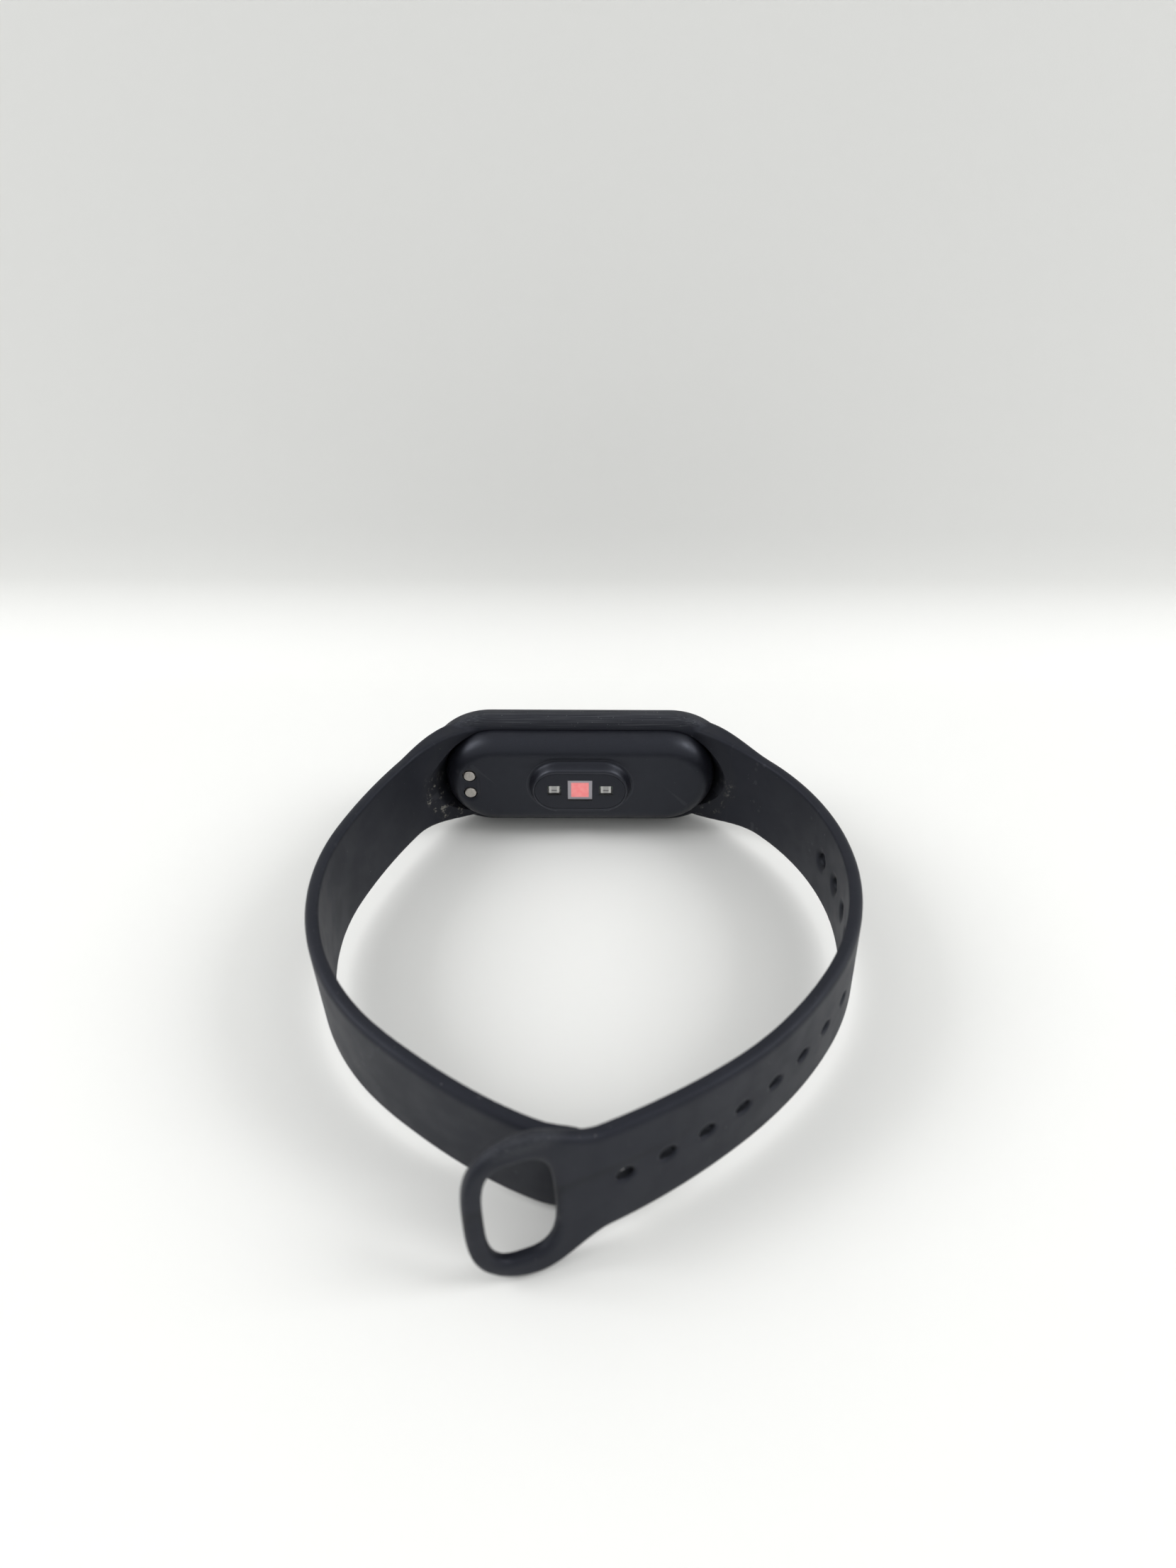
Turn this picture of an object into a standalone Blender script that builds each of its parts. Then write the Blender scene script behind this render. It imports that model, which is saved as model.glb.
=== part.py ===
"""Fitness tracker band: a soft strap with an open buckle loop, and a tracker capsule that pops out.

Frame: metres, +Z up. The band stands on its edge. X runs along the capsule, +Y points away from the
wrist through the display, and the origin is the middle of the cradle's flat lower edge.
Sizes below are millimetres and degrees; MM turns them into metres when a mesh is made.
"""
import math

import bmesh
import bpy
from mathutils import Matrix, Vector

MM = 0.001
GAP = 0.3                     # clearance between neighbouring pieces
MID_Z = 11.4                  # height of the band's mid-plane

# Capsule outline and depths along Y, from the wrist side (low) to the display side (high).
CAPSULE_LENGTH = 46.9
CAPSULE_WIDTH = 18.2
SEAM_Y = -2.5                 # where the shell is widest and the cradle ends
REAR_Y = -6.2                 # flat back of the shell
HUMP_Y = -7.9                 # face of the sensor hump
RIM_Y = 2.3                   # front rim of the shell
GLASS_Y = 4.5                 # front of the glass
FRONT_INSET = 4.2             # how far the front rounds in from the seam
FRONT_SQUARENESS = 2.4        # 2 is an ellipse, more is squarer
REAR_INSET = 3.2
WALL = 0.9
END_STEPS = 12                # facets round each half-circle end of a pill outline

# Sensor window, charging contacts and rotor motor.
HUMP_SIZE = (17.4, 9.2)
LENS_SIZE = (15.6, 7.4)
PHOTODIODE_SIZE = (3.1, 3.2)
LED_SIZE = (1.75, 1.4)
LED_X = 4.45
CONTACT_X = -19.05
CONTACT_RISE = 1.8
CONTACT_RADIUS = 1.0
MOTOR_X = 16.6
MOTOR_RADIUS = 3.6

# Strap: cross-section, holes, loop and the places where it flexes.
STRAP_WIDTH = 16.0
STRAP_THICK = 2.0
ROOT_WIDTH = 18.6             # where the strap leaves the cradle
ROOT_THICK = 4.0
ROOT_FADE = (7.0, 20.0)       # stretch over which the root thins to the plain strap
EDGE = 0.5                    # rounding of the strap's long edges
CRADLE_RADIUS = 11.4          # half the cradle's height
HOLE_COUNT = 13
HOLE_PITCH = 5.82
OUTER_HOLE = (2.0, 2.3)       # along and across the strap, on the outside
INNER_HOLE = (2.8, 4.0)       # the same on the wrist side, where the stud's head sits
FIRST_HOLE_TO_END = 19.7
LOOP_HALF_WIDTH = 11.35
LOOP_FLARE = 2.2              # past the first hole, where the strap starts to widen
LOOP_WIDEST = 11.6            # past the first hole
LOOP_SQUARENESS = 3.2         # of the rounded free end
OPENING = (8.6, 13.2, 17.3)   # start, widest and end of the loop's opening, past the first hole
OPENING_HALF = 7.9
OPENING_SQUARENESS = 3.1
STUD_TO_END = 6.2

# Each half is a chain of (radius, turn) arcs that leaves the cradle along +X or -X, the stations along
# it where a flex joint sits, how far its top leans towards the wrist along its middle and at its end,
# and where and how far it droops towards the table. A real strap bends everywhere.
HOLED = {
    "side": 1,
    "start": (14.7, 0.7),
    "arcs": ((12.0, 27.7), (38.1, 95.0), (59.3, 20.2), (97.0, 22.0)),
    "joints": (21.0, 52.1, 81.2),
    "lean": (2.5, 9.3),
    "droop": (0.0, 0.0),
}
STUD = {
    "side": -1,
    "start": (13.2, 0.0),
    "arcs": ((17.6, 60.2), (88.6, 12.5), (37.0, 64.1), (56.3, 25.5), (12.0, 34.3)),
    "joints": (21.0, 48.0, 78.0),
    "lean": (-1.4, -1.2),
    "droop": (84.0, 3.0),
}


# ---------------------------------------------------------------- helpers

def clear_scene():
    for obj in list(bpy.data.objects):
        bpy.data.objects.remove(obj)


def material(name, color, roughness, metallic=0.0):
    mat = bpy.data.materials.get(name) or bpy.data.materials.new(name)
    mat.use_nodes = True
    shader = mat.node_tree.nodes["Principled BSDF"]
    shader.inputs["Base Color"].default_value = (*color, 1.0)
    shader.inputs["Roughness"].default_value = roughness
    shader.inputs["Metallic"].default_value = metallic
    return mat


def mesh_object(name, bm, mat):
    """Object from a bmesh in millimetres, with its faces pointing out. Without a material it is a cutter."""
    bmesh.ops.scale(bm, vec=(MM, MM, MM), verts=bm.verts)
    bmesh.ops.recalc_face_normals(bm, faces=bm.faces)
    mesh = bpy.data.meshes.new(name)
    bm.to_mesh(mesh)
    bm.free()
    obj = bpy.data.objects.new(name, mesh)
    bpy.context.scene.collection.objects.link(obj)
    if mat is None:
        obj.hide_render = True
        obj.display_type = "WIRE"
    else:
        mesh.materials.append(mat)
        mesh.shade_smooth()
        mesh.set_sharp_from_angle(angle=math.radians(35))
    return obj


def loft(name, rings, mat=None):
    """Closed skin through equal rings of points, capped at both ends."""
    bm = bmesh.new()
    rows = [[bm.verts.new(point) for point in ring] for ring in rings]
    count = len(rings[0])
    for near, far in zip(rows, rows[1:]):
        for i in range(count):
            j = (i + 1) % count
            bm.faces.new((near[i], near[j], far[j], far[i]))
    bm.faces.new(rows[0][::-1])
    bm.faces.new(rows[-1])
    return mesh_object(name, bm, mat)


def boolean(obj, tool, operation="DIFFERENCE"):
    """Cuts a tool out of an object, or adds it, and keeps the tool as a wire guide."""
    step = obj.modifiers.new(operation.title(), "BOOLEAN")
    step.object = tool
    step.operation = operation
    step.solver = "EXACT"
    tool.hide_render = True
    tool.display_type = "WIRE"


def pill_ring(length, width, y, x=0.0, z=MID_Z):
    """Points round a pill outline, long along X, in the plane at depth y."""
    radius = width / 2
    half = length / 2 - radius
    ring = []
    for side, start in ((1, -90.0), (-1, 90.0)):
        for i in range(END_STEPS + 1):
            angle = math.radians(start + 180.0 * i / END_STEPS)
            ring.append((x + side * half + radius * math.cos(angle), y, z + radius * math.sin(angle)))
    return ring


def pill(name, profile, mat=None, x=0.0, z=MID_Z):
    """Pill-shaped body lofted along Y through (y, length, width) stations."""
    return loft(name, [pill_ring(length, width, y, x, z) for y, length, width in profile], mat)


def box(name, size, centre, mat=None, bevel=0.0):
    bm = bmesh.new()
    place = Matrix.Translation(centre) @ Matrix.Diagonal((*size, 1.0))
    bmesh.ops.create_cube(bm, size=1.0, matrix=place)
    obj = mesh_object(name, bm, mat)
    if bevel:
        step = obj.modifiers.new("Bevel", "BEVEL")
        step.width = bevel * MM
        step.segments = 2
    return obj


def turned(name, profile, place, mat=None, steps=24):
    """Body of revolution about local Z. The profile is (radius, height) points, none on the axis."""
    rings = []
    for radius, height in profile:
        turn = [2 * math.pi * i / steps for i in range(steps)]
        rings.append([place @ Vector((radius * math.cos(a), radius * math.sin(a), height)) for a in turn])
    return loft(name, rings, mat)


def along_y(x, y, z):
    """Placement whose local Z runs along +Y."""
    return Matrix.Translation((x, y, z)) @ Matrix.Rotation(math.radians(-90), 4, "X")


def smooth(t):
    t = min(max(t, 0.0), 1.0)
    return t * t * (3 - 2 * t)


# ---------------------------------------------------------------- strap path

def length_of(half):
    return sum(radius * math.radians(turn) for radius, turn in half["arcs"])


def centreline(half, s):
    """Point (x, y) and clockwise heading at distance s along a strap half."""
    x, y = half["start"]
    heading = 0.0
    for radius, turn in half["arcs"]:
        step = min(max(s, 0.0) / radius, math.radians(turn))
        x += radius * (math.sin(heading + step) - math.sin(heading))
        y -= radius * (math.cos(heading) - math.cos(heading + step))
        heading += step
        s -= radius * step
    return half["side"] * x, y, heading


def lean_at(half, s):
    """Angle by which the strap's top leans towards the wrist at distance s."""
    middle, end = half["lean"]
    last = half["joints"][-1]
    run = length_of(half) - FIRST_HOLE_TO_END / 2 - last
    return math.radians(middle * smooth(s / half["joints"][0]) + (end - middle) * smooth((s - last) / run))


def droop_at(half, s):
    """How far the strap has sunk towards the table at distance s."""
    start, depth = half["droop"]
    return depth * smooth((s - start) / (length_of(half) - start))


def strap_point(half, s, across, out):
    """World point at distance s, at a place across the strap's width and out from its mid-surface."""
    x, y, heading = centreline(half, s)
    lean = lean_at(half, s)
    outward = out * math.cos(lean) - across * math.sin(lean)
    rise = across * math.cos(lean) + out * math.sin(lean)
    return (
        x + half["side"] * outward * math.sin(heading),
        y + outward * math.cos(heading),
        MID_Z + rise - droop_at(half, s),
    )


def strap_ring(half, s, half_width, half_thick):
    """Rounded cross-section of the strap at distance s, as twelve points."""
    edge = min(EDGE, half_thick * 0.6)
    ring = []
    for across, out in ((1, 1), (-1, 1), (-1, -1), (1, -1)):
        corner = [(0.0, edge), (0.3 * edge, 0.3 * edge), (edge, 0.0)]
        for inset_w, inset_t in corner if across == out else corner[::-1]:
            w = across * (half_width - inset_w)
            t = out * (half_thick - inset_t)
            ring.append(strap_point(half, s, w, t))
    return ring


def root_section(s):
    """Half width and half thickness of the strap where it grows out of the cradle."""
    fade = 1 - smooth((s - ROOT_FADE[0]) / (ROOT_FADE[1] - ROOT_FADE[0]))
    width = STRAP_WIDTH + (ROOT_WIDTH - STRAP_WIDTH) * fade
    thick = STRAP_THICK + (ROOT_THICK - STRAP_THICK) * fade
    return width / 2, thick / 2


def nose_rings(half, s):
    """Half-round end of a strap piece, centred on the joint at s."""
    radius = STRAP_THICK / 2
    rings = []
    for angle in (80.0, 52.0, 26.0):
        back = radius * math.sin(math.radians(angle))
        rings.append(strap_ring(half, s - back, STRAP_WIDTH / 2, radius * math.cos(math.radians(angle))))
    return rings


def flex_axis(half, s):
    """Point and direction, across the strap's width, of the flex joint at s."""
    point = Vector(strap_point(half, s, 0.0, 0.0))
    return point, (Vector(strap_point(half, s, 1.0, 0.0)) - point).normalized()


def cut_socket(obj, half, s):
    """Hollows the end of a strap piece so that the next piece's nose turns in it."""
    point, axis = flex_axis(half, s)
    reach = STRAP_WIDTH / 2 + 2.0
    radius = STRAP_THICK / 2 + GAP
    place = Matrix.Translation(point) @ Vector((0, 0, 1)).rotation_difference(axis).to_matrix().to_4x4()
    boolean(obj, turned(f"{obj.name}_socket_cutter_{s:.0f}", ((radius, -reach), (radius, reach)), place))


def stations(start, end, step=3.4):
    count = max(2, math.ceil((end - start) / step))
    return [start + (end - start) * i / count for i in range(count + 1)]


def plain_rings(half, start, end):
    return [strap_ring(half, s, STRAP_WIDTH / 2, STRAP_THICK / 2) for s in stations(start, end)]


def strap_piece(name, half, start, end, mat):
    """Plain stretch between two flex joints: nose at its start, socket at its end."""
    obj = loft(name, nose_rings(half, start) + plain_rings(half, start, end), mat)
    cut_socket(obj, half, end)
    return obj


# ---------------------------------------------------------------- strap pieces

def build_cradle(mat):
    """Pill-shaped surround with both strap roots, and the pocket that holds the capsule."""
    straight = CAPSULE_LENGTH - CAPSULE_WIDTH
    edge_profile = (
        (SEAM_Y, 9.85), (SEAM_Y + 0.3, 10.6), (SEAM_Y + 0.8, 11.2), (-1.2, CRADLE_RADIUS),
        (0.15, CRADLE_RADIUS), (0.9, 11.0), (1.9, 10.2), (2.9, 9.35), (3.6, 8.6), (3.9, 8.0),
    )
    cradle = pill("strap_cradle", [(y, straight + 2 * r, 2 * r) for y, r in edge_profile], mat)
    for half, side in ((HOLED, "right"), (STUD, "left")):
        end = half["joints"][0]
        rings = [strap_ring(half, s, *root_section(s)) for s in stations(4.0, end, 2.0)]
        boolean(cradle, loft(f"root_{side}", rings), "UNION")
    room = 2 * GAP
    flare = ((-14.0, 11.0, 1.5), (-8.6, 6.6, 0.6), (-5.5, 2.8, 0.1))
    pocket = [(y, CAPSULE_LENGTH + room + longer, CAPSULE_WIDTH + room + wider) for y, longer, wider in flare]
    lip_y = edge_profile[-1][0]
    front = [station for station in front_stations(0.0) if station[0] < lip_y]
    pocket += [(y, length + room, width + room) for y, length, width in front]
    pocket.append((lip_y + 2.0, *pocket[-1][1:]))
    boolean(cradle, pill("pocket_cutter", pocket))
    cut_socket(cradle, HOLED, HOLED["joints"][0])
    cut_socket(cradle, STUD, STUD["joints"][0])
    return cradle


def cut_holes(obj, start, end):
    """Oval sizing holes whose centres lie between two stations of the holed half."""
    first = length_of(HOLED) - FIRST_HOLE_TO_END
    for index in range(HOLE_COUNT):
        s = first - index * HOLE_PITCH
        if not start < s < end:
            continue
        rings = []
        taper = ((1.0, OUTER_HOLE), (0.3, OUTER_HOLE), (-0.5, INNER_HOLE), (-1.0, INNER_HOLE))
        for depth, (along, across) in taper:
            turn = [2 * math.pi * i / 16 for i in range(16)]
            oval = [(s + along / 2 * math.cos(a), across / 2 * math.sin(a)) for a in turn]
            rings.append([strap_point(HOLED, u, v, depth * (STRAP_THICK / 2 + GAP)) for u, v in oval])
        boolean(obj, loft(f"hole_cutter_{index + 1}", rings))


def loop_half_width(u):
    """Half the strap's width at a distance u past the first hole, before the rounded free end."""
    flare = smooth((u - LOOP_FLARE) / (LOOP_WIDEST - LOOP_FLARE))
    return STRAP_WIDTH / 2 + (LOOP_HALF_WIDTH - STRAP_WIDTH / 2) * flare


def build_loop_end(mat):
    """Last stretch of the holed half, widening into the buckle loop."""
    first = length_of(HOLED) - FIRST_HOLE_TO_END
    start = HOLED["joints"][-1]
    half_thick = STRAP_THICK / 2
    rings = nose_rings(HOLED, start) + plain_rings(HOLED, start, first)
    for s in stations(first, first + LOOP_WIDEST, 1.6)[1:]:
        rings.append(strap_ring(HOLED, s, loop_half_width(s - first), half_thick))
    for angle in (18.0, 35.0, 50.0, 62.0, 72.0, 80.0, 86.0):
        run = (FIRST_HOLE_TO_END - LOOP_WIDEST) * math.sin(math.radians(angle))
        half_width = LOOP_HALF_WIDTH * math.cos(math.radians(angle)) ** (2 / LOOP_SQUARENESS)
        rings.append(strap_ring(HOLED, first + LOOP_WIDEST + run, half_width, half_thick))
    loop = loft("strap_holed_loop", rings, mat)
    cut_holes(loop, start, first + 1.0)

    begin, widest, finish = OPENING
    outline = []
    for i in range(28):
        cos, sin = math.cos(2 * math.pi * i / 28), math.sin(2 * math.pi * i / 28)
        reach = finish - widest if cos > 0 else widest - begin
        u = widest + math.copysign(reach * abs(cos) ** (2 / OPENING_SQUARENESS), cos)
        v = math.copysign(OPENING_HALF * abs(sin) ** (2 / OPENING_SQUARENESS), sin)
        outline.append((first + u, v))
    rings = [[strap_point(HOLED, u, v, out) for u, v in outline] for out in (-3.0, 3.0)]
    boolean(loop, loft("loop_opening_cutter", rings))
    return loop


def build_stud_end(mat):
    """Last stretch of the stud half, with a rounded tip and a pocket for the stud's flange."""
    start = STUD["joints"][-1]
    total = length_of(STUD)
    corner = 4.0
    rings = nose_rings(STUD, start) + plain_rings(STUD, start, total - corner)
    for angle in (25.0, 45.0, 62.0, 76.0, 86.0):
        run = corner * math.sin(math.radians(angle))
        half_width = STRAP_WIDTH / 2 - corner * (1 - math.cos(math.radians(angle)))
        rings.append(strap_ring(STUD, total - corner + run, half_width, STRAP_THICK / 2))
    tip = loft("strap_stud_tip", rings, mat)
    flange_pocket = ((2.6, 0.4), (2.6, -3.0))
    boolean(tip, turned("stud_pocket_cutter", flange_pocket, stud_placement()))
    return tip


def stud_placement():
    """Placement whose local Z points out of the strap, away from the wrist, at the stud's centre."""
    s = length_of(STUD) - STUD_TO_END
    origin = Vector(strap_point(STUD, s, 0.0, 0.0))
    outward = (Vector(strap_point(STUD, s, 0.0, 1.0)) - origin).normalized()
    return Matrix.Translation(origin) @ Vector((0, 0, 1)).rotation_difference(outward).to_matrix().to_4x4()


def build_stud(mat):
    """Peg that clips into a sizing hole: flange in the strap, narrow neck, rounded head."""
    flange = ((2.3, 0.1), (2.3, -0.6), (1.15, -0.75))
    head = ((1.15, -2.9), (1.8, -3.2), (1.95, -3.7), (1.55, -4.4), (0.7, -4.75))
    return turned("stud_peg", flange + head, stud_placement(), mat)


# ---------------------------------------------------------------- capsule pieces

def rear_stations(wall):
    """Stations of the capsule's rounded back edge, inset by a wall, from the flat back to the seam."""
    stack = []
    for angle in (0.0, 22.0, 45.0, 68.0, 90.0):
        lift, spread = math.cos(math.radians(angle)), math.sin(math.radians(angle))
        inset = 2 * (wall + (REAR_INSET - wall / 2) * (1 - spread))
        y = SEAM_Y - (SEAM_Y - REAR_Y - wall) * lift
        stack.append((y, CAPSULE_LENGTH - inset, CAPSULE_WIDTH - inset))
    return stack


def front_stations(wall, end=GLASS_Y):
    """Stations of the capsule's rounded front, inset by a wall, from the seam towards the glass."""
    stack = []
    steps = 12
    for i in range(steps + 1):
        y = SEAM_Y + (end - SEAM_Y) * i / steps
        rise = ((y - SEAM_Y) / (GLASS_Y - SEAM_Y)) ** FRONT_SQUARENESS
        inset = 2 * (wall + FRONT_INSET * (1 - (1 - rise) ** (1 / FRONT_SQUARENESS)))
        stack.append((y, CAPSULE_LENGTH - inset, CAPSULE_WIDTH - inset))
    return stack


def build_rear_shell(mat):
    """Cup-shaped back of the capsule with the sensor hump, its window and two contact holes."""
    shell = pill("rear_shell", rear_stations(0.0) + front_stations(0.0, RIM_Y)[3::3], mat)
    long, tall = HUMP_SIZE
    hump = (
        (HUMP_Y, long - 0.5, tall - 0.5), (HUMP_Y + 0.3, long, tall), (HUMP_Y + 1.0, long + 0.5, tall + 0.5),
        (REAR_Y, long + 2.2, tall + 2.2), (REAR_Y + 0.5, long + 2.2, tall + 2.2),
    )
    boolean(shell, pill("hump", hump), "UNION")
    cavity = rear_stations(WALL) + front_stations(WALL, RIM_Y)[3::3]
    cavity.append((RIM_Y + 1.0, *cavity[-1][1:]))
    boolean(shell, pill("cavity_cutter", cavity))
    window = [(y, LENS_SIZE[0] + 2 * GAP, LENS_SIZE[1] + 2 * GAP) for y in (HUMP_Y - 1.0, REAR_Y + 2.0)]
    boolean(shell, pill("window_cutter", window))
    for rise, side in ((CONTACT_RISE, "upper"), (-CONTACT_RISE, "lower")):
        place = along_y(CONTACT_X, REAR_Y - 1.0, MID_Z + rise)
        radius = CONTACT_RADIUS + GAP
        boolean(shell, turned(f"contact_cutter_{side}", ((radius, 0.0), (radius, 3.0)), place))
    return shell


def build_sensor(black, glass, led_mat, diode_mat, board_mat):
    """Optical pulse sensor behind the hump's window."""
    pieces = [pill("sensor_lens", [(HUMP_Y, *LENS_SIZE), (HUMP_Y + 0.7, *LENS_SIZE)], glass)]
    barrier_y = HUMP_Y + 1.0
    barrier = pill("light_barrier", [(barrier_y, *LENS_SIZE), (barrier_y + 1.0, *LENS_SIZE)], black)
    for x, wide, tall in ((0.0, 4.5, 3.8), (LED_X, 2.4, 2.5), (-LED_X, 2.4, 2.5)):
        boolean(barrier, box(f"barrier_cutter_{x:+.0f}", (wide, 4.0, tall), (x, barrier_y, MID_Z)))
    pieces.append(barrier)
    chip_y = barrier_y + 0.9
    for name, size, x, mat in (
        ("photodiode", PHOTODIODE_SIZE, 0.0, diode_mat),
        ("led_right", LED_SIZE, LED_X, led_mat),
        ("led_left", LED_SIZE, -LED_X, led_mat),
    ):
        pieces.append(box(name, (size[0], 1.0, size[1]), (x, chip_y, MID_Z), mat))
    board_y = chip_y + 0.5 + GAP
    pieces.append(pill("sensor_board", [(board_y, 18.4, 10.2), (board_y + 0.6, 18.4, 10.2)], board_mat))
    return pieces


def build_contacts(nickel, flex_mat):
    """Two charging contacts with flanges inside the shell, and the flex that joins them."""
    pieces = []
    inside = REAR_Y + WALL + GAP
    for rise, side in ((CONTACT_RISE, "upper"), (-CONTACT_RISE, "lower")):
        profile = (
            (CONTACT_RADIUS - 0.15, REAR_Y), (CONTACT_RADIUS, REAR_Y + 0.15), (CONTACT_RADIUS, inside),
            (1.45, inside), (1.45, inside + 0.5),
        )
        pieces.append(turned(f"contact_{side}", profile, along_y(CONTACT_X, 0.0, MID_Z + rise), nickel))
    flex_y = inside + 0.5 + GAP + 0.15
    pieces.append(box("charge_flex", (3.0, 0.3, 7.6), (CONTACT_X + 0.2, flex_y, MID_Z), flex_mat))
    return pieces


def build_motor(steel, weight_mat):
    """Coin motor: cup and base, with an eccentric weight on a shaft. Returns fixed and turning pieces."""
    back, front = -4.9, -1.9
    wall = 0.35
    place = along_y(MOTOR_X, 0.0, MID_Z)
    can = turned("motor_can", ((MOTOR_RADIUS, back), (MOTOR_RADIUS, front)), place, steel)
    inner = MOTOR_RADIUS - wall
    boolean(can, turned("motor_can_cutter", ((inner, back + wall), (inner, front + 1.0)), place))
    base = turned("motor_base", ((MOTOR_RADIUS, front + GAP), (MOTOR_RADIUS, front + GAP + 0.4)), place, steel)
    shaft_ends = (back + wall + GAP, front)
    shaft = turned("motor_shaft", [(0.4, y) for y in shaft_ends], place, steel, steps=12)
    bm = bmesh.new()
    hub, reach = 1.25, inner - GAP
    steps = 32
    rows = []
    for i in range(steps):
        angle = 2 * math.pi * i / steps - math.pi
        outer = reach if abs(angle) < math.radians(85) else hub
        spots = ((0.7, back + 1.0), (outer, back + 1.0), (outer, back + 2.3), (0.7, back + 2.3))
        rows.append([bm.verts.new(place @ Vector((r * math.cos(angle), r * math.sin(angle), y))) for r, y in spots])
    for i, row in enumerate(rows):
        following = rows[(i + 1) % steps]
        for j in range(4):
            k = (j + 1) % 4
            bm.faces.new((row[j], row[k], following[k], following[j]))
    weight = mesh_object("motor_weight", bm, weight_mat)
    return [can, base], [shaft, weight]


def build_electronics(board_mat, chip_mat, cell_mat, metal, flex_mat):
    """Battery, main board with its chips and connector, and the antenna round the far end."""
    board_y = -0.5
    pieces = [
        box("battery", (20.4, 2.8, 12.8), (0.8, -2.5, MID_Z), cell_mat, bevel=0.6),
        pill("main_board", [(board_y - 0.3, 43.0, 14.4), (board_y + 0.3, 43.0, 14.4)], board_mat),
    ]
    for name, size, x, rise, mat in (
        ("processor_chip", (4.6, 1.0, 4.6), -13.2, 2.8, chip_mat),
        ("memory_chip", (3.4, 0.8, 3.0), -13.2, -3.2, chip_mat),
        ("motion_chip", (2.0, 0.8, 2.0), -17.4, 3.2, chip_mat),
        ("battery_connector", (1.6, 0.9, 3.6), -17.2, -2.6, metal),
    ):
        pieces.append(box(name, size, (x, board_y - 0.3 - GAP - size[1] / 2, MID_Z + rise), mat))
    rings = []
    for i in range(17):
        angle = math.radians(-80 + 160 * i / 16)
        ring = []
        for radius, y in ((7.2, -3.4), (7.6, -3.4), (7.6, -1.6), (7.2, -1.6)):
            ring.append((14.0 + radius * math.cos(angle), y, MID_Z + radius * math.sin(angle)))
        rings.append(ring)
    pieces.append(loft("antenna_strip", rings, flex_mat))
    return pieces


def build_display(frame_mat, panel_mat, flex_mat, seal_mat, glass):
    """Mid frame, display and its flex, adhesive seal, and the front glass."""
    frame_y = 0.1
    frame = pill("mid_frame", [(frame_y, 43.2, 14.6), (frame_y + 0.6, 43.2, 14.6)], frame_mat)
    boolean(frame, box("frame_cutter", (2.4, 3.0, 8.0), (-17.6, frame_y, MID_Z)))
    panel = box("display_panel", (28.2, 0.9, 12.4), (0.0, 1.45, MID_Z), panel_mat)
    bm = bmesh.new()
    fold = ((-14.5, 1.3), (-14.5, 1.6), (-17.8, 1.6), (-17.8, 0.1), (-17.5, 0.1), (-17.5, 1.3))
    sides = [[bm.verts.new((x, y, MID_Z + rise)) for x, y in fold] for rise in (-3.0, 3.0)]
    bm.faces.new(sides[0])
    bm.faces.new(sides[1][::-1])
    for i in range(len(fold)):
        j = (i + 1) % len(fold)
        bm.faces.new((sides[0][i], sides[1][i], sides[1][j], sides[0][j]))
    flex = mesh_object("display_flex", bm, flex_mat)
    seal_y = RIM_Y + GAP
    outer = CAPSULE_WIDTH - 2.9
    straight = CAPSULE_LENGTH - CAPSULE_WIDTH
    seal = pill("glass_seal", [(y, straight + outer, outer) for y in (seal_y, seal_y + 0.2)], seal_mat)
    inner = outer - 1.6
    boolean(seal, pill("seal_cutter", [(y, straight + inner, inner) for y in (seal_y - 1.0, seal_y + 1.0)]))
    glass_y = seal_y + 0.2 + GAP
    profile = [station for station in front_stations(0.0) if station[0] > glass_y + 0.1]
    profile.insert(0, (glass_y, *profile[0][1:]))
    return [frame, panel, flex, seal, pill("front_glass", profile, glass)]


# ---------------------------------------------------------------- assembly

def pivot(name, point, parent=None):
    """Empty on a joint's axis, which carries the pieces that move with it."""
    empty = bpy.data.objects.new(name, None)
    empty.empty_display_size = 4 * MM
    bpy.context.scene.collection.objects.link(empty)
    empty.location = Vector(point) * MM
    if parent:
        carry(parent, empty)
    bpy.context.view_layer.update()
    return empty


def carry(parent, *objects):
    """Parents objects, and the tools that shape them, without moving them."""
    for obj in objects:
        tools = [step.object for step in obj.modifiers if step.type == "BOOLEAN"]
        for child in [obj, *tools]:
            child.parent = parent
            child.matrix_parent_inverse = parent.matrix_world.inverted()


def flex_pivots(half, label, parent):
    """Chain of pivots at the flex joints of one strap half."""
    chain = []
    for name, s in zip(("root", "middle", "end"), half["joints"]):
        point, _ = flex_axis(half, s)
        chain.append(pivot(f"pivot_{label}_{name}", point, chain[-1] if chain else parent))
    return chain


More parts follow.
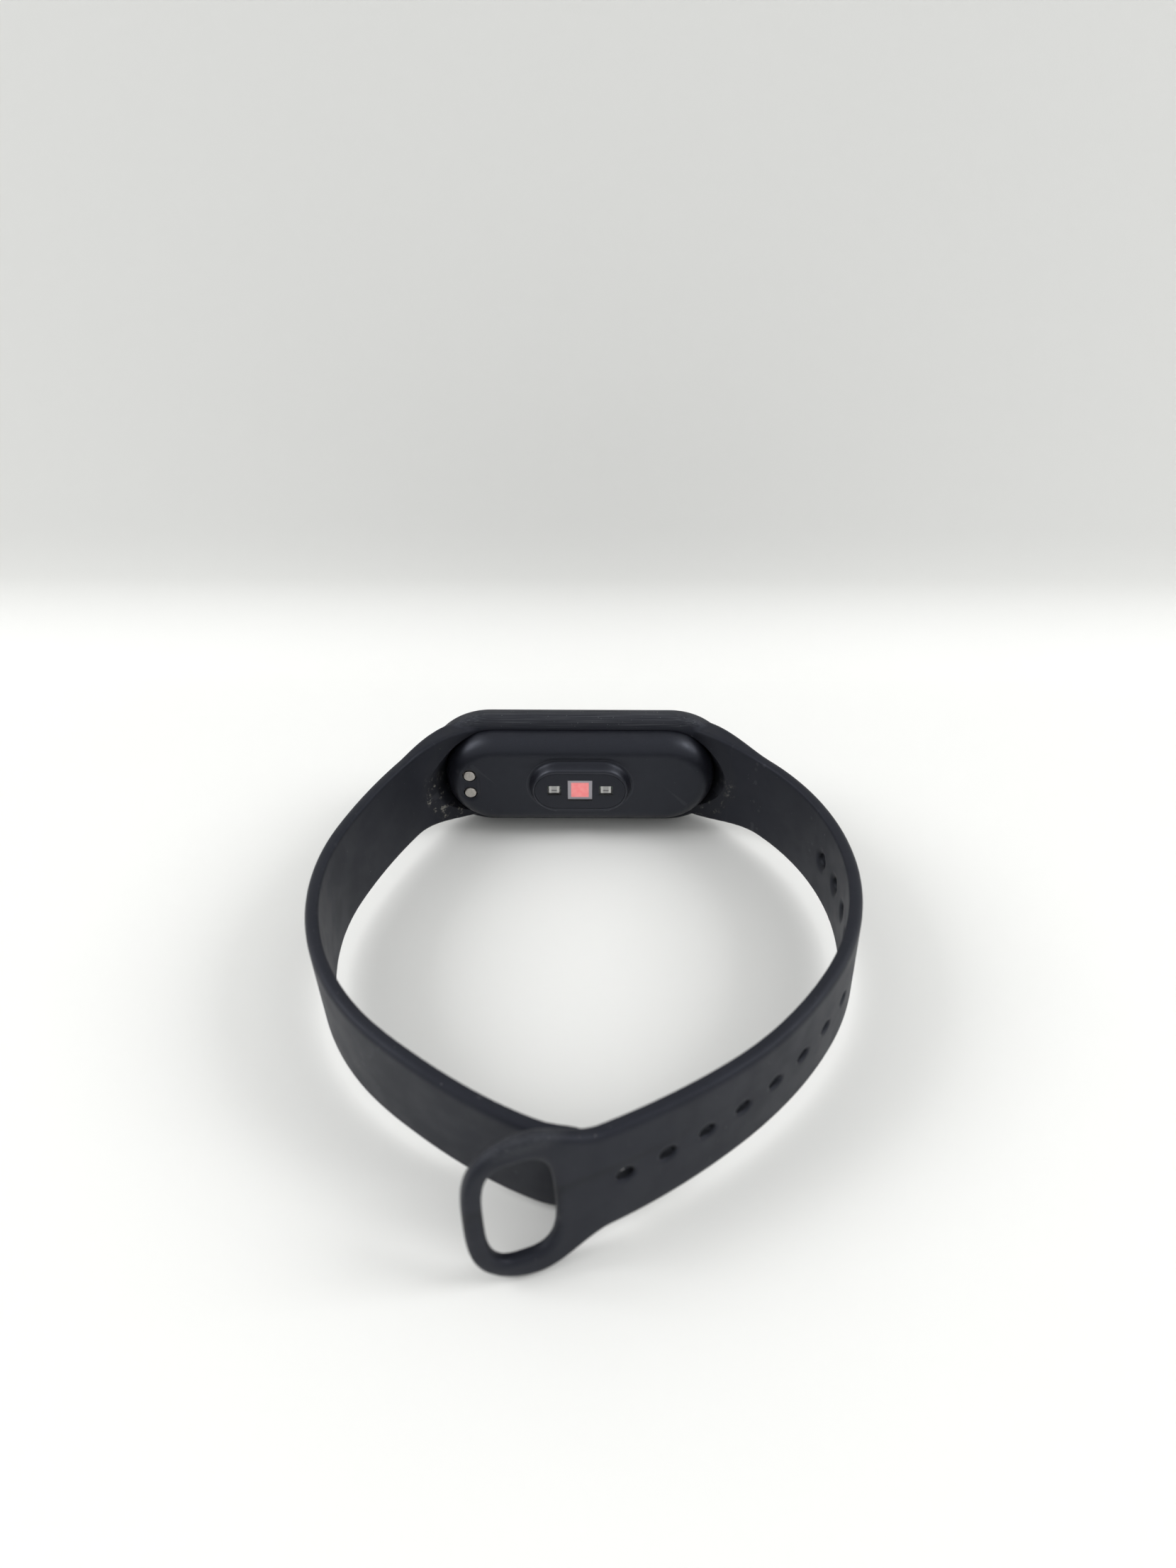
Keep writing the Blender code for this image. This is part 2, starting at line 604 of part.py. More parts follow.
def main():
    clear_scene()
    rubber = material("strap_rubber", (0.018, 0.019, 0.022), 0.55)
    shell_mat = material("shell_plastic", (0.008, 0.008, 0.009), 0.42)
    black = material("black_plastic", (0.006, 0.006, 0.006), 0.6)
    glass = material("black_glass", (0.004, 0.004, 0.005), 0.05)
    nickel = material("nickel_contact", (0.75, 0.72, 0.66), 0.35, 1.0)
    steel = material("motor_steel", (0.62, 0.62, 0.63), 0.3, 1.0)
    stud_metal = material("stud_metal", (0.2, 0.2, 0.21), 0.35, 1.0)
    tungsten = material("weight_tungsten", (0.3, 0.3, 0.31), 0.5, 1.0)
    board = material("board_green", (0.02, 0.12, 0.05), 0.5)
    chip = material("chip_epoxy", (0.02, 0.02, 0.02), 0.6)
    cell = material("cell_foil", (0.7, 0.7, 0.68), 0.4, 0.6)
    copper = material("flex_copper", (0.55, 0.28, 0.08), 0.45)
    panel = material("display_black", (0.01, 0.01, 0.012), 0.15)
    foam = material("seal_foam", (0.03, 0.03, 0.03), 0.9)
    led = material("led_package", (0.55, 0.6, 0.45), 0.5)
    diode = material("photodiode_red", (0.75, 0.16, 0.14), 0.3)

    base = pivot("band_origin", (0.0, 0.0, 0.0))
    carry(base, build_cradle(rubber))

    holed_pivots = flex_pivots(HOLED, "holed", base)
    for index, name in enumerate(("strap_holed_root", "strap_holed_middle")):
        start, end = HOLED["joints"][index:index + 2]
        piece = strap_piece(name, HOLED, start, end, rubber)
        cut_holes(piece, start, end)
        carry(holed_pivots[index], piece)
    carry(holed_pivots[2], build_loop_end(rubber))

    stud_pivots = flex_pivots(STUD, "stud", base)
    for index, name in enumerate(("strap_stud_root", "strap_stud_middle")):
        start, end = STUD["joints"][index:index + 2]
        carry(stud_pivots[index], strap_piece(name, STUD, start, end, rubber))
    carry(stud_pivots[2], build_stud_end(rubber), build_stud(stud_metal))

    capsule = pivot("capsule_slide", (0.0, SEAM_Y, MID_Z), base)
    motor_fixed, motor_turning = build_motor(steel, tungsten)
    carry(capsule, build_rear_shell(shell_mat), *motor_fixed)
    carry(capsule, *build_sensor(black, glass, led, diode, board), *build_contacts(nickel, copper))
    carry(capsule, *build_electronics(board, chip, cell, nickel, copper))
    carry(capsule, *build_display(black, panel, copper, foam, glass))
    carry(pivot("pivot_motor", (MOTOR_X, 0.0, MID_Z), capsule), *motor_turning)


main()
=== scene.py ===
"""Looks of the fitness tracker band: moulded meshes, node materials, floor, lights and camera.

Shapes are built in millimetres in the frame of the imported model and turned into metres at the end:
X along the capsule, +Y away from the wrist, Z up, the band standing on its edge at z = 0.
"""
import math

import bmesh
import bpy
import numpy as np
from mathutils import Matrix, Vector
from mathutils.kdtree import KDTree


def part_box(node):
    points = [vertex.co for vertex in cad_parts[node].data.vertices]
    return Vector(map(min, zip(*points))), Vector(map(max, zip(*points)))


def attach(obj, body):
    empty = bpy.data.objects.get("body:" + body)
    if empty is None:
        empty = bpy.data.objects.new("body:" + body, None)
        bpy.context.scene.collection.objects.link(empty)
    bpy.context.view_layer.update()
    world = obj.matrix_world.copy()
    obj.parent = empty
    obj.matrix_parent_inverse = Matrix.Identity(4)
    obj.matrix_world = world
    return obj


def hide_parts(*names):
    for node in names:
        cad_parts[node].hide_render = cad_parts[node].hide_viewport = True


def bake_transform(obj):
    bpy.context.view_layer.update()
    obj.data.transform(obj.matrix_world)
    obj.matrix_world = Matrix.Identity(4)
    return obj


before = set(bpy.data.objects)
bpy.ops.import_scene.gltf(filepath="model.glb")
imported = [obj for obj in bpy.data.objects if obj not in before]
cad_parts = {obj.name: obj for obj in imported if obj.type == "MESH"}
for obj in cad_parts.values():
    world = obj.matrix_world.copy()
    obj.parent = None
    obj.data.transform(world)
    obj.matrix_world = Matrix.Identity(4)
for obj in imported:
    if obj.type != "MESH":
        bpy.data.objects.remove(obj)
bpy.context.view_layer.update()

MM = 0.001
COOL = (0.8, 0.85, 1.0, 1.0)  # tint of the light that dark polymers reflect


def box_mm(node):
    """Lowest and highest corners of a CAD node in millimetres."""
    low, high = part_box(node)
    return low / MM, high / MM


CRADLE_LOW, CRADLE_HIGH = box_mm("strap_cradle")
SHELL_LOW, SHELL_HIGH = box_mm("rear_shell")
GLASS_LOW, GLASS_HIGH = box_mm("front_glass")
LENS_LOW, LENS_HIGH = box_mm("sensor_lens")

MID_Z = (CRADLE_LOW.z + CRADLE_HIGH.z) / 2
CRADLE_RADIUS = (CRADLE_HIGH.z - CRADLE_LOW.z) / 2

# Capsule: outline seen along Y, and depths from the wrist side to the display side.
CAPSULE_LENGTH = SHELL_HIGH.x - SHELL_LOW.x
CAPSULE_WIDTH = SHELL_HIGH.z - SHELL_LOW.z
HUMP_Y = SHELL_LOW.y
RIM_Y = SHELL_HIGH.y
GLASS_Y = GLASS_HIGH.y
SEAM_Y = -2.5
REAR_Y = box_mm("contact_upper")[0].y
FRONT_INSET = 4.2
FRONT_SQUARENESS = 2.4
REAR_INSET = 3.2
WALL = 0.9
SEAM_GAP = 0.1
SURROUND_SQUARER = 2.0        # length added to fill out the surround's ends
HUMP_SIZE = (16.5, 9.1)
GROOVE_SIZE = (HUMP_SIZE[0] + 1.9, HUMP_SIZE[1] + 1.9)
LENS_SIZE = (LENS_HIGH.x - LENS_LOW.x, LENS_HIGH.z - LENS_LOW.z)
LENS_ROOM = 0.08              # by which the hole in the shell is longer and wider than the window
PANE_BACK = LENS_LOW.y + 0.4  # back of the sensor window, in front of its mask and chips
OPENING_RISE = 0.2            # of the clear openings over the chips, for a look from above
PACKAGE_BORDER = 0.55         # of the pale package round the pink filter
CONTACT_RADIUS = 1.0
CONTACT_HOLE = 1.2
RECESS_RADIUS = 1.5           # of the shallow stadium that holds both contacts
RECESS_DEPTH = 0.22
GROOVE_DEPTH = 0.03

# Strap section, sizing holes and buckle loop, as distances from the first hole where the loop is meant.
STRAP_WIDTH = 16.0
STRAP_THICK = 2.0
ROOT_WIDTH = 18.6
ROOT_THICK = 4.0
ROOT_FADE = (7.0, 20.0)
EDGES = (0.9, 0.4)            # rounding of the strap's outer and inner edges
LOOP_EDGE = 0.85
HOLE_COUNT = 13
HOLE_PITCH = 5.82
OUTER_HOLE = (2.3, 1.75)
INNER_HOLE = (2.8, 4.0)
FIRST_HOLE_TO_END = 19.7
LOOP_HALF_WIDTH = 11.35
LOOP_FLARE = 2.2
LOOP_WIDEST = 11.6
LOOP_SQUARENESS = 3.2
OPENING = (8.6, 13.2, 17.3)
OPENING_HALF = 7.9
OPENING_SQUARENESS = 3.1
OPENING_ROUND = 0.75
TIP_CORNER = 4.0

# Each strap half: start, (radius, turn) arcs, stations of the flex joints, the lean of its top towards
# the wrist, where and how far it droops to the table, and the stations where the moulded strap is
# parted into pieces that each hold one joint.
HOLED = {
    "side": 1,
    "start": (14.7, 0.7),
    "arcs": ((12.0, 27.7), (38.1, 95.0), (59.3, 20.2), (97.0, 22.0)),
    "joints": (21.0, 52.1, 81.2),
    "lean": (2.5, 9.3),
    "droop": (0.0, 0.0),
    "cuts": (13.5, 34.5, 63.75),
    "bodies": ("band", "holed_root", "holed_middle", "holed_end"),
}
STUD = {
    "side": -1,
    "start": (13.2, 0.0),
    "arcs": ((17.6, 60.2), (88.6, 12.5), (37.0, 64.1), (56.3, 25.5), (12.0, 34.3)),
    "joints": (21.0, 48.0, 78.0),
    "lean": (-1.4, -1.2),
    "droop": (84.0, 3.0),
    "cuts": (13.5, 34.5, 63.0),
    "bodies": ("band", "stud_root", "stud_middle", "stud_end"),
}
BEND_REACH = 7.0              # how far each side of a flex joint the strap bends
OVERLAP = 2.0                 # moulding past a cut, so that both sides of it match
VOXEL = 0.24
CIRCLE_STEPS = 64


# ---- mesh helpers

def half_size(node, margin):
    """Half length and half width of a CAD node seen along Y, with a margin round it."""
    low, high = box_mm(node)
    return (high.x - low.x) / 2 + margin, (high.z - low.z) / 2 + margin


def new_object(name, data):
    """Object in the scene for a mesh, a light or a camera."""
    obj = bpy.data.objects.new(name, data)
    bpy.context.scene.collection.objects.link(obj)
    return obj


def object_from(name, points, faces):
    """Object in millimetres with its faces pointing out."""
    mesh = bpy.data.meshes.new(name)
    mesh.from_pydata([tuple(point) for point in points], [], faces)
    bm = bmesh.new()
    bm.from_mesh(mesh)
    bmesh.ops.recalc_face_normals(bm, faces=bm.faces)
    bm.to_mesh(mesh)
    bm.free()
    return new_object(name, mesh)


def skin_of(rings):
    """Points of equal rings, their indices ring by ring, and the quads between neighbouring rings."""
    points = np.asarray(rings, float)
    rows, count, _ = points.shape
    index = np.arange(rows * count).reshape(rows, count)
    near, far = index[:-1], index[1:]
    quads = np.stack([near, np.roll(near, -1, 1), np.roll(far, -1, 1), far], -1).reshape(-1, 4)
    return points.reshape(-1, 3), index, quads.tolist()


def loft(name, rings):
    """Closed skin through equal rings of points, capped at both ends."""
    points, index, faces = skin_of(rings)
    return object_from(name, points, faces + [index[0][::-1].tolist(), index[-1].tolist()])


def settle(obj):
    """Applies the object's modifiers."""
    depsgraph = bpy.context.evaluated_depsgraph_get()
    mesh = bpy.data.meshes.new_from_object(obj.evaluated_get(depsgraph))
    obj.modifiers.clear()
    obj.data = mesh


def combine(obj, tool, operation="DIFFERENCE"):
    """Cuts a tool out of an object, or adds it."""
    step = obj.modifiers.new("Combine", "BOOLEAN")
    step.object = tool
    step.operation = operation
    step.solver = "EXACT"
    settle(obj)
    bpy.data.objects.remove(tool)


def mould(obj, voxel, rounds):
    """Remakes the skin as an even mesh whose edges are softened as in a rubber mould."""
    step = obj.modifiers.new("Even", "REMESH")
    step.mode = "VOXEL"
    step.voxel_size = voxel
    step = obj.modifiers.new("Soften", "SMOOTH")
    step.factor = 0.5
    step.iterations = rounds
    settle(obj)


def part_at(obj, half, s, keep_ahead, name):
    """New object: what lies ahead of, or behind, distance s along a strap half, closed with a flat cap."""
    bm = bmesh.new()
    bm.from_mesh(obj.data)
    bmesh.ops.bisect_plane(
        bm, geom=bm.verts[:] + bm.edges[:] + bm.faces[:], dist=1e-5,
        plane_co=strap_point(half, s, 0, 0), plane_no=forward_at(half, s),
        clear_inner=keep_ahead, clear_outer=not keep_ahead,
    )
    rim = [edge for edge in bm.edges if edge.is_boundary]
    bmesh.ops.holes_fill(bm, edges=rim, sides=0)
    mesh = bpy.data.meshes.new(name)
    bm.to_mesh(mesh)
    bm.free()
    return new_object(name, mesh)


def finish_piece(obj, name, look, slot, node, body=None, sharp=40.0):
    """Names and shades a piece, turns it into metres, and lets it stand for a CAD node on a body."""
    obj.name = obj.data.name = name
    obj.data.transform(Matrix.Scale(MM, 4))
    obj.data.materials.clear()
    obj.data.materials.append(look)
    obj.data.shade_smooth()
    obj.data.set_sharp_from_angle(angle=math.radians(sharp))
    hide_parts(node)
    if body:
        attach(obj, body)


def smooth(t):
    t = min(max(t, 0.0), 1.0)
    return t * t * (3 - 2 * t)


def curve_through(points, steps):
    """Smooth curve through points, as Catmull-Rom spans of equal step counts."""
    points = np.asarray(points, float)
    padded = np.vstack([2 * points[0] - points[1], points, 2 * points[-1] - points[-2]])
    t = np.linspace(0, 1, steps, endpoint=False)[:, None]
    spans = []
    for a, b, c, d in zip(padded, padded[1:], padded[2:], padded[3:]):
        curve = 2 * b + (c - a) * t + (2 * a - 5 * b + 4 * c - d) * t**2 + (3 * b - a - 3 * c + d) * t**3
        spans.append(curve / 2)
    return np.vstack([*spans, points[-1:]])


def pill_outline(length, width, straight_steps=60):
    """Points (x, z) round a pill that is long along X, centred on the origin."""
    radius = width / 2
    half = length / 2 - radius
    turn = np.radians(np.linspace(-90, 90, CIRCLE_STEPS + 1))
    arc = np.stack([half + radius * np.cos(turn), radius * np.sin(turn)], -1)
    run = np.linspace(half, -half, straight_steps + 1)[1:-1]
    top = np.stack([run, np.full_like(run, radius)], -1)
    return np.vstack([arc, top, -arc, -top])


def pill_ring(length, width, y):
    """The same outline round the capsule's axis, in the plane at depth y."""
    flat = pill_outline(length, width)
    return np.stack([flat[:, 0], np.full(len(flat), y), flat[:, 1] + MID_Z], -1)


def pill(name, profile):
    """Pill-shaped body lofted along Y through (y, length, width) stations."""
    return loft(name, [pill_ring(length, width, y) for y, length, width in profile])


def turned(name, profile, place):
    """Body of revolution about local Z. The profile is (radius, height) points, none on the axis."""
    turn = np.linspace(0, 2 * math.pi, CIRCLE_STEPS, endpoint=False)
    rings = []
    for radius, height in profile:
        rings.append([place @ Vector((radius * math.cos(a), radius * math.sin(a), height)) for a in turn])
    return loft(name, rings)


def along_y(x, y, z):
    """Placement whose local Z runs along +Y."""
    return Matrix.Translation((x, y, z)) @ Matrix.Rotation(math.radians(-90), 4, "X")


# ---- strap path

def length_of(half):
    return sum(radius * math.radians(turn) for radius, turn in half["arcs"])


def centreline(half, s):
    """Point (x, y) and heading at distance s along a strap half."""
    x, y = half["start"]
    heading = 0.0
    for radius, turn in half["arcs"]:
        step = min(max(s, 0.0) / radius, math.radians(turn))
        x += radius * (math.sin(heading + step) - math.sin(heading))
        y -= radius * (math.cos(heading) - math.cos(heading + step))
        heading += step
        s -= radius * step
    return half["side"] * x, y, heading


def lean_at(half, s):
    middle, end = half["lean"]
    last = half["joints"][-1]
    run = length_of(half) - FIRST_HOLE_TO_END / 2 - last
    return math.radians(middle * smooth(s / half["joints"][0]) + (end - middle) * smooth((s - last) / run))


def droop_at(half, s):
    start, depth = half["droop"]
    return depth * smooth((s - start) / (length_of(half) - start))


def strap_point(half, s, across, out):
    """Point at distance s, at a place across the strap's width and out from its mid-surface."""
    x, y, heading = centreline(half, s)
    lean = lean_at(half, s)
    outward = out * math.cos(lean) - across * math.sin(lean)
    rise = across * math.cos(lean) + out * math.sin(lean)
    height = MID_Z + rise - droop_at(half, s)
    return x + half["side"] * outward * math.sin(heading), y + outward * math.cos(heading), height


def forward_at(half, s):
    """Direction in which a strap half runs at distance s."""
    heading = centreline(half, s)[2]
    return Vector((half["side"] * math.cos(heading), -math.sin(heading), 0.0))


def strap_ring(half, s, half_width, half_thick, edges=EDGES):
    """Rounded cross-section of the strap at distance s."""
    ring = []
    for corner, (across, out) in enumerate(((1, 1), (-1, 1), (-1, -1), (1, -1))):
        edge = min(edges[0] if out > 0 else edges[1], half_thick * 0.95, half_width * 0.95)
        for step in range(7):
            angle = math.radians(90 * corner + 15 * step)
            w = across * (half_width - edge) + edge * math.cos(angle)
            t = out * (half_thick - edge) + edge * math.sin(angle)
            ring.append(strap_point(half, s, w, t))
    return ring


def root_section(s):
    """Half width and half thickness of the strap where it grows out of the cradle."""
    fade = 1 - smooth((s - ROOT_FADE[0]) / (ROOT_FADE[1] - ROOT_FADE[0]))
    width = STRAP_WIDTH + (ROOT_WIDTH - STRAP_WIDTH) * fade
    thick = STRAP_THICK + (ROOT_THICK - STRAP_THICK) * fade
    return width / 2, thick / 2


def steps_between(start, end, step):
    return np.linspace(start, end, max(2, math.ceil((end - start) / step)) + 1)


def rounded_off(distance, radius):
    """Share of the full half thickness left at a distance from a free end."""
    if distance >= radius:
        return 1.0
    lost = radius - math.sqrt(max(radius**2 - (radius - distance) ** 2, 0.0))
    return 1 - lost / (STRAP_THICK / 2)


# ---- strap pieces

def build_cradle():
    """Surround, both strap roots and the pocket for the capsule, moulded in one."""
    straight = CAPSULE_LENGTH - CAPSULE_WIDTH
    profile = (
        (SEAM_Y - 0.1, 9.3), (SEAM_Y + 0.3, 10.5), (SEAM_Y + 0.75, 11.1), (-1.2, 11.4), (0.15, 11.4),
        (0.9, 11.0), (1.9, 10.2), (2.9, 9.35), (3.6, 8.6), (3.9, 8.0),
    )
    outer = [(y, min(r, CRADLE_RADIUS)) for y, r in curve_through(profile, 4)]
    cradle = pill("cradle", [(y, straight + SURROUND_SQUARER + 2 * r, 2 * r) for y, r in outer])
    for half in (HOLED, STUD):
        end = half["cuts"][1] + OVERLAP
        rings = [strap_ring(half, s, *root_section(s)) for s in steps_between(4.0, end, 0.6)]
        combine(cradle, loft("root", rings), "UNION")
    mould(cradle, VOXEL, 5)
    room = 2 * SEAM_GAP
    flare = ((-14.0, 11.0, 1.5), (-8.6, 6.6, 0.6), (-5.5, 2.8, 0.1))
    pocket = []
    for y, longer, wider in flare:
        pocket.append((y, CAPSULE_LENGTH + room + longer, CAPSULE_WIDTH + room + wider))
    lip_y = profile[-1][0]
    for y, inset in front_curve(lip_y - 0.2):
        pocket.append((y, CAPSULE_LENGTH - 2 * inset + room, CAPSULE_WIDTH - 2 * inset + room))
    pocket.append((lip_y + 2.0, *pocket[-1][1:]))
    combine(cradle, pill("pocket", pocket))
    return cradle


def widened(distance, radius):
    """How much a cut widens near the strap's faces so that its edges come out rounded."""
    depth = min(max((distance - (STRAP_THICK / 2 - radius)) / radius, 0.0), 1.0)
    return radius * (1 - math.sqrt(1 - depth * depth))


def cut_outline(half, outline_at, name):
    """Cutter through the strap whose (s, across) outline is given at each depth."""
    reach = STRAP_THICK / 2 + 0.5
    depths = [reach, *np.linspace(1.0, -1.0, 17), -reach]
    return loft(name, [[strap_point(half, s, v, out) for s, v in outline_at(out)] for out in depths])


def hole_outline(centre):
    """Oval that is wider on the wrist side, where the head of the stud sits."""
    turn = np.linspace(0, 2 * math.pi, 32, endpoint=False)

    def outline(out):
        fade = smooth((out + 0.95) / 0.5)
        rim = widened(abs(out), 0.28)
        along = INNER_HOLE[0] + (OUTER_HOLE[0] - INNER_HOLE[0]) * fade
        across = INNER_HOLE[1] + (OUTER_HOLE[1] - INNER_HOLE[1]) * fade
        return [(centre + (along / 2 + rim) * math.cos(a), (across / 2 + rim) * math.sin(a)) for a in turn]

    return outline


def opening_outline(first):
    """Rounded window of the buckle loop."""
    begin, widest, finish = OPENING
    turn = np.linspace(0, 2 * math.pi, 72, endpoint=False)

    def outline(out):
        rim = widened(abs(out), OPENING_ROUND)
        ring = []
        for a in turn:
            cos, sin = math.cos(a), math.sin(a)
            reach = (finish - widest if cos > 0 else widest - begin) + rim
            u = widest + math.copysign(reach * abs(cos) ** (2 / OPENING_SQUARENESS), cos)
            v = math.copysign((OPENING_HALF + rim) * abs(sin) ** (2 / OPENING_SQUARENESS), sin)
            ring.append((first + u, v))
        return ring

    return outline


def build_holed_half():
    """Strap with sizing holes that widens into the buckle loop."""
    total = length_of(HOLED)
    first = total - FIRST_HOLE_TO_END
    half_thick = STRAP_THICK / 2
    rings = []
    for s in steps_between(HOLED["cuts"][1] - OVERLAP, first, 0.6):
        rings.append(strap_ring(HOLED, s, STRAP_WIDTH / 2, half_thick))
    for u in steps_between(0.0, LOOP_WIDEST, 0.4)[1:]:
        flare = smooth((u - LOOP_FLARE) / (LOOP_WIDEST - LOOP_FLARE))
        half_width = STRAP_WIDTH / 2 + (LOOP_HALF_WIDTH - STRAP_WIDTH / 2) * flare
        edges = [edge + (LOOP_EDGE - edge) * flare for edge in EDGES]
        rings.append(strap_ring(HOLED, first + u, half_width, half_thick, edges))
    for angle in np.radians(np.linspace(6, 88, 24)):
        s = first + LOOP_WIDEST + (FIRST_HOLE_TO_END - LOOP_WIDEST) * math.sin(angle)
        half_width = LOOP_HALF_WIDTH * math.cos(angle) ** (2 / LOOP_SQUARENESS)
        thick = half_thick * rounded_off(total - s, LOOP_EDGE)
        rings.append(strap_ring(HOLED, s, half_width, thick, (LOOP_EDGE, LOOP_EDGE)))
    strap = loft("holed_half", rings)
    for index in range(HOLE_COUNT):
        centre = first - index * HOLE_PITCH
        combine(strap, cut_outline(HOLED, hole_outline(centre), "hole"))
    combine(strap, cut_outline(HOLED, opening_outline(first), "opening"))
    mould(strap, VOXEL, 5)
    return strap


def build_stud_half():
    """Plain strap with a rounded tip that holds the stud."""
    total = length_of(STUD)
    half_thick = STRAP_THICK / 2
    rings = []
    for s in steps_between(STUD["cuts"][1] - OVERLAP, total - TIP_CORNER, 0.6):
        rings.append(strap_ring(STUD, s, STRAP_WIDTH / 2, half_thick))
    for angle in np.radians(np.linspace(6, 88, 20)):
        s = total - TIP_CORNER * (1 - math.sin(angle))
        half_width = STRAP_WIDTH / 2 - TIP_CORNER * (1 - math.cos(angle))
        rings.append(strap_ring(STUD, s, half_width, half_thick * rounded_off(total - s, EDGES[1])))
    strap = loft("stud_half", rings)
    combine(strap, turned("stud_pocket", ((2.5, 0.4), (2.5, -3.0)), stud_place()))
    mould(strap, VOXEL, 5)
    return strap


def stud_place():
    """Placement whose local Z points away from the wrist at the stud."""
    low, high = box_mm("stud_peg")
    middle = (low + high) / 2
    s = min(steps_between(STUD["joints"][-1], length_of(STUD), 0.05),
            key=lambda t: (Vector(strap_point(STUD, t, 0.0, -2.3)) - middle).length)
    origin = Vector(strap_point(STUD, s, 0.0, 0.0))
    outward = (Vector(strap_point(STUD, s, 0.0, 1.0)) - origin).normalized()
    return Matrix.Translation(origin) @ Vector((0, 0, 1)).rotation_difference(outward).to_matrix().to_4x4()


def tag_strap(obj):
    """Stores where each point lies along its strap half, above the mid-plane and out, for the materials."""
    spots = []
    for half in (HOLED, STUD):
        for s in steps_between(0.0, length_of(half), 0.5):
            spots.append((half, s))
    tree = KDTree(len(spots))
    middles = [Vector(strap_point(half, s, 0.0, 0.0)) for half, s in spots]
    for index, middle in enumerate(middles):
        tree.insert((middle.x, middle.y, 0.0), index)
    tree.balance()
    count = len(obj.data.vertices)
    values = {"along": np.zeros(count), "above": np.zeros(count), "out": np.zeros(count)}
    for vertex in obj.data.vertices:
        place = Vector((vertex.co.x, vertex.co.y, 0.0))
        index = tree.find(place)[1]
        half, s = spots[index]
        heading = centreline(half, s)[2]
        outward = Vector((half["side"] * math.sin(heading), math.cos(heading), 0.0))
        offset = place - middles[index]
        values["along"][vertex.index] = half["side"] * (s + offset.dot(forward_at(half, s)))
        values["above"][vertex.index] = vertex.co.z - MID_Z
        values["out"][vertex.index] = offset.dot(outward)
    for name, numbers in values.items():
        attribute = obj.data.attributes.new(name, "FLOAT", "POINT")
        attribute.data.foreach_set("value", numbers.astype(np.float32))


def finish_strap_piece(whole, half, joint, name, look):
    """Takes the piece round a flex joint out of a moulded strap, tags it with its place along the strap and
    finishes it.
    """
    cuts, bodies = half["cuts"], half["bodies"]
    piece = part_at(whole, half, cuts[joint], True, name)
    if joint + 1 < len(cuts):
        longer, piece = piece, part_at(piece, half, cuts[joint + 1], False, name)
        bpy.data.objects.remove(longer)
    tag_strap(piece)
    finish_piece(piece, f"strap_skin_{name}", look, "strap_rubber", f"strap_{name}")
    station = half["joints"][joint]
    start, end = (
        Vector(strap_point(half, station + reach, 0.0, 0.0)) * MM for reach in (-BEND_REACH, BEND_REACH)
    )
    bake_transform(piece)


# ---- capsule pieces

def front_curve(end):
    """Stations (y, inset) of the capsule's rounded front, from the seam towards the glass."""
    stations = []
    for y in np.linspace(SEAM_Y, end, 24):
        rise = ((y - SEAM_Y) / (GLASS_Y - SEAM_Y)) ** FRONT_SQUARENESS
        stations.append((y, FRONT_INSET * (1 - (1 - rise) ** (1 / FRONT_SQUARENESS))))
    return stations


def pill_distance(x, z, length, width):
    """Distance outside a pill outline, negative inside."""
    half = (length - width) / 2
    return np.hypot(np.maximum(np.abs(x) - half, 0.0), z) - width / 2


def smooth_array(values, low, high):
    t = np.clip((values - low) / (high - low), 0.0, 1.0)
    return t * t * (3 - 2 * t)


def back_relief(x, z):
    """How far the back stands out from its flat face: the sensor hump, and the sunken contact stadium."""
    hump = 1 - smooth_array(pill_distance(x, z, *HUMP_SIZE), -0.25, 0.6)
    groove = pill_distance(x, z, *GROOVE_SIZE)
    upper, lower = box_mm("contact_upper"), box_mm("contact_lower")
    middle_x = (upper[0].x + upper[1].x) / 2
    rise = (upper[1].z - lower[0].z) / 2 - 1.45
    recess = np.hypot(x - middle_x, np.maximum(np.abs(z) - rise, 0.0)) - RECESS_RADIUS
    return (
        (REAR_Y - HUMP_Y) * hump
        - RECESS_DEPTH * (1 - smooth_array(recess, -0.3, 0.25))
        - GROOVE_DEPTH * np.exp(-((groove / 0.16) ** 2))
    )


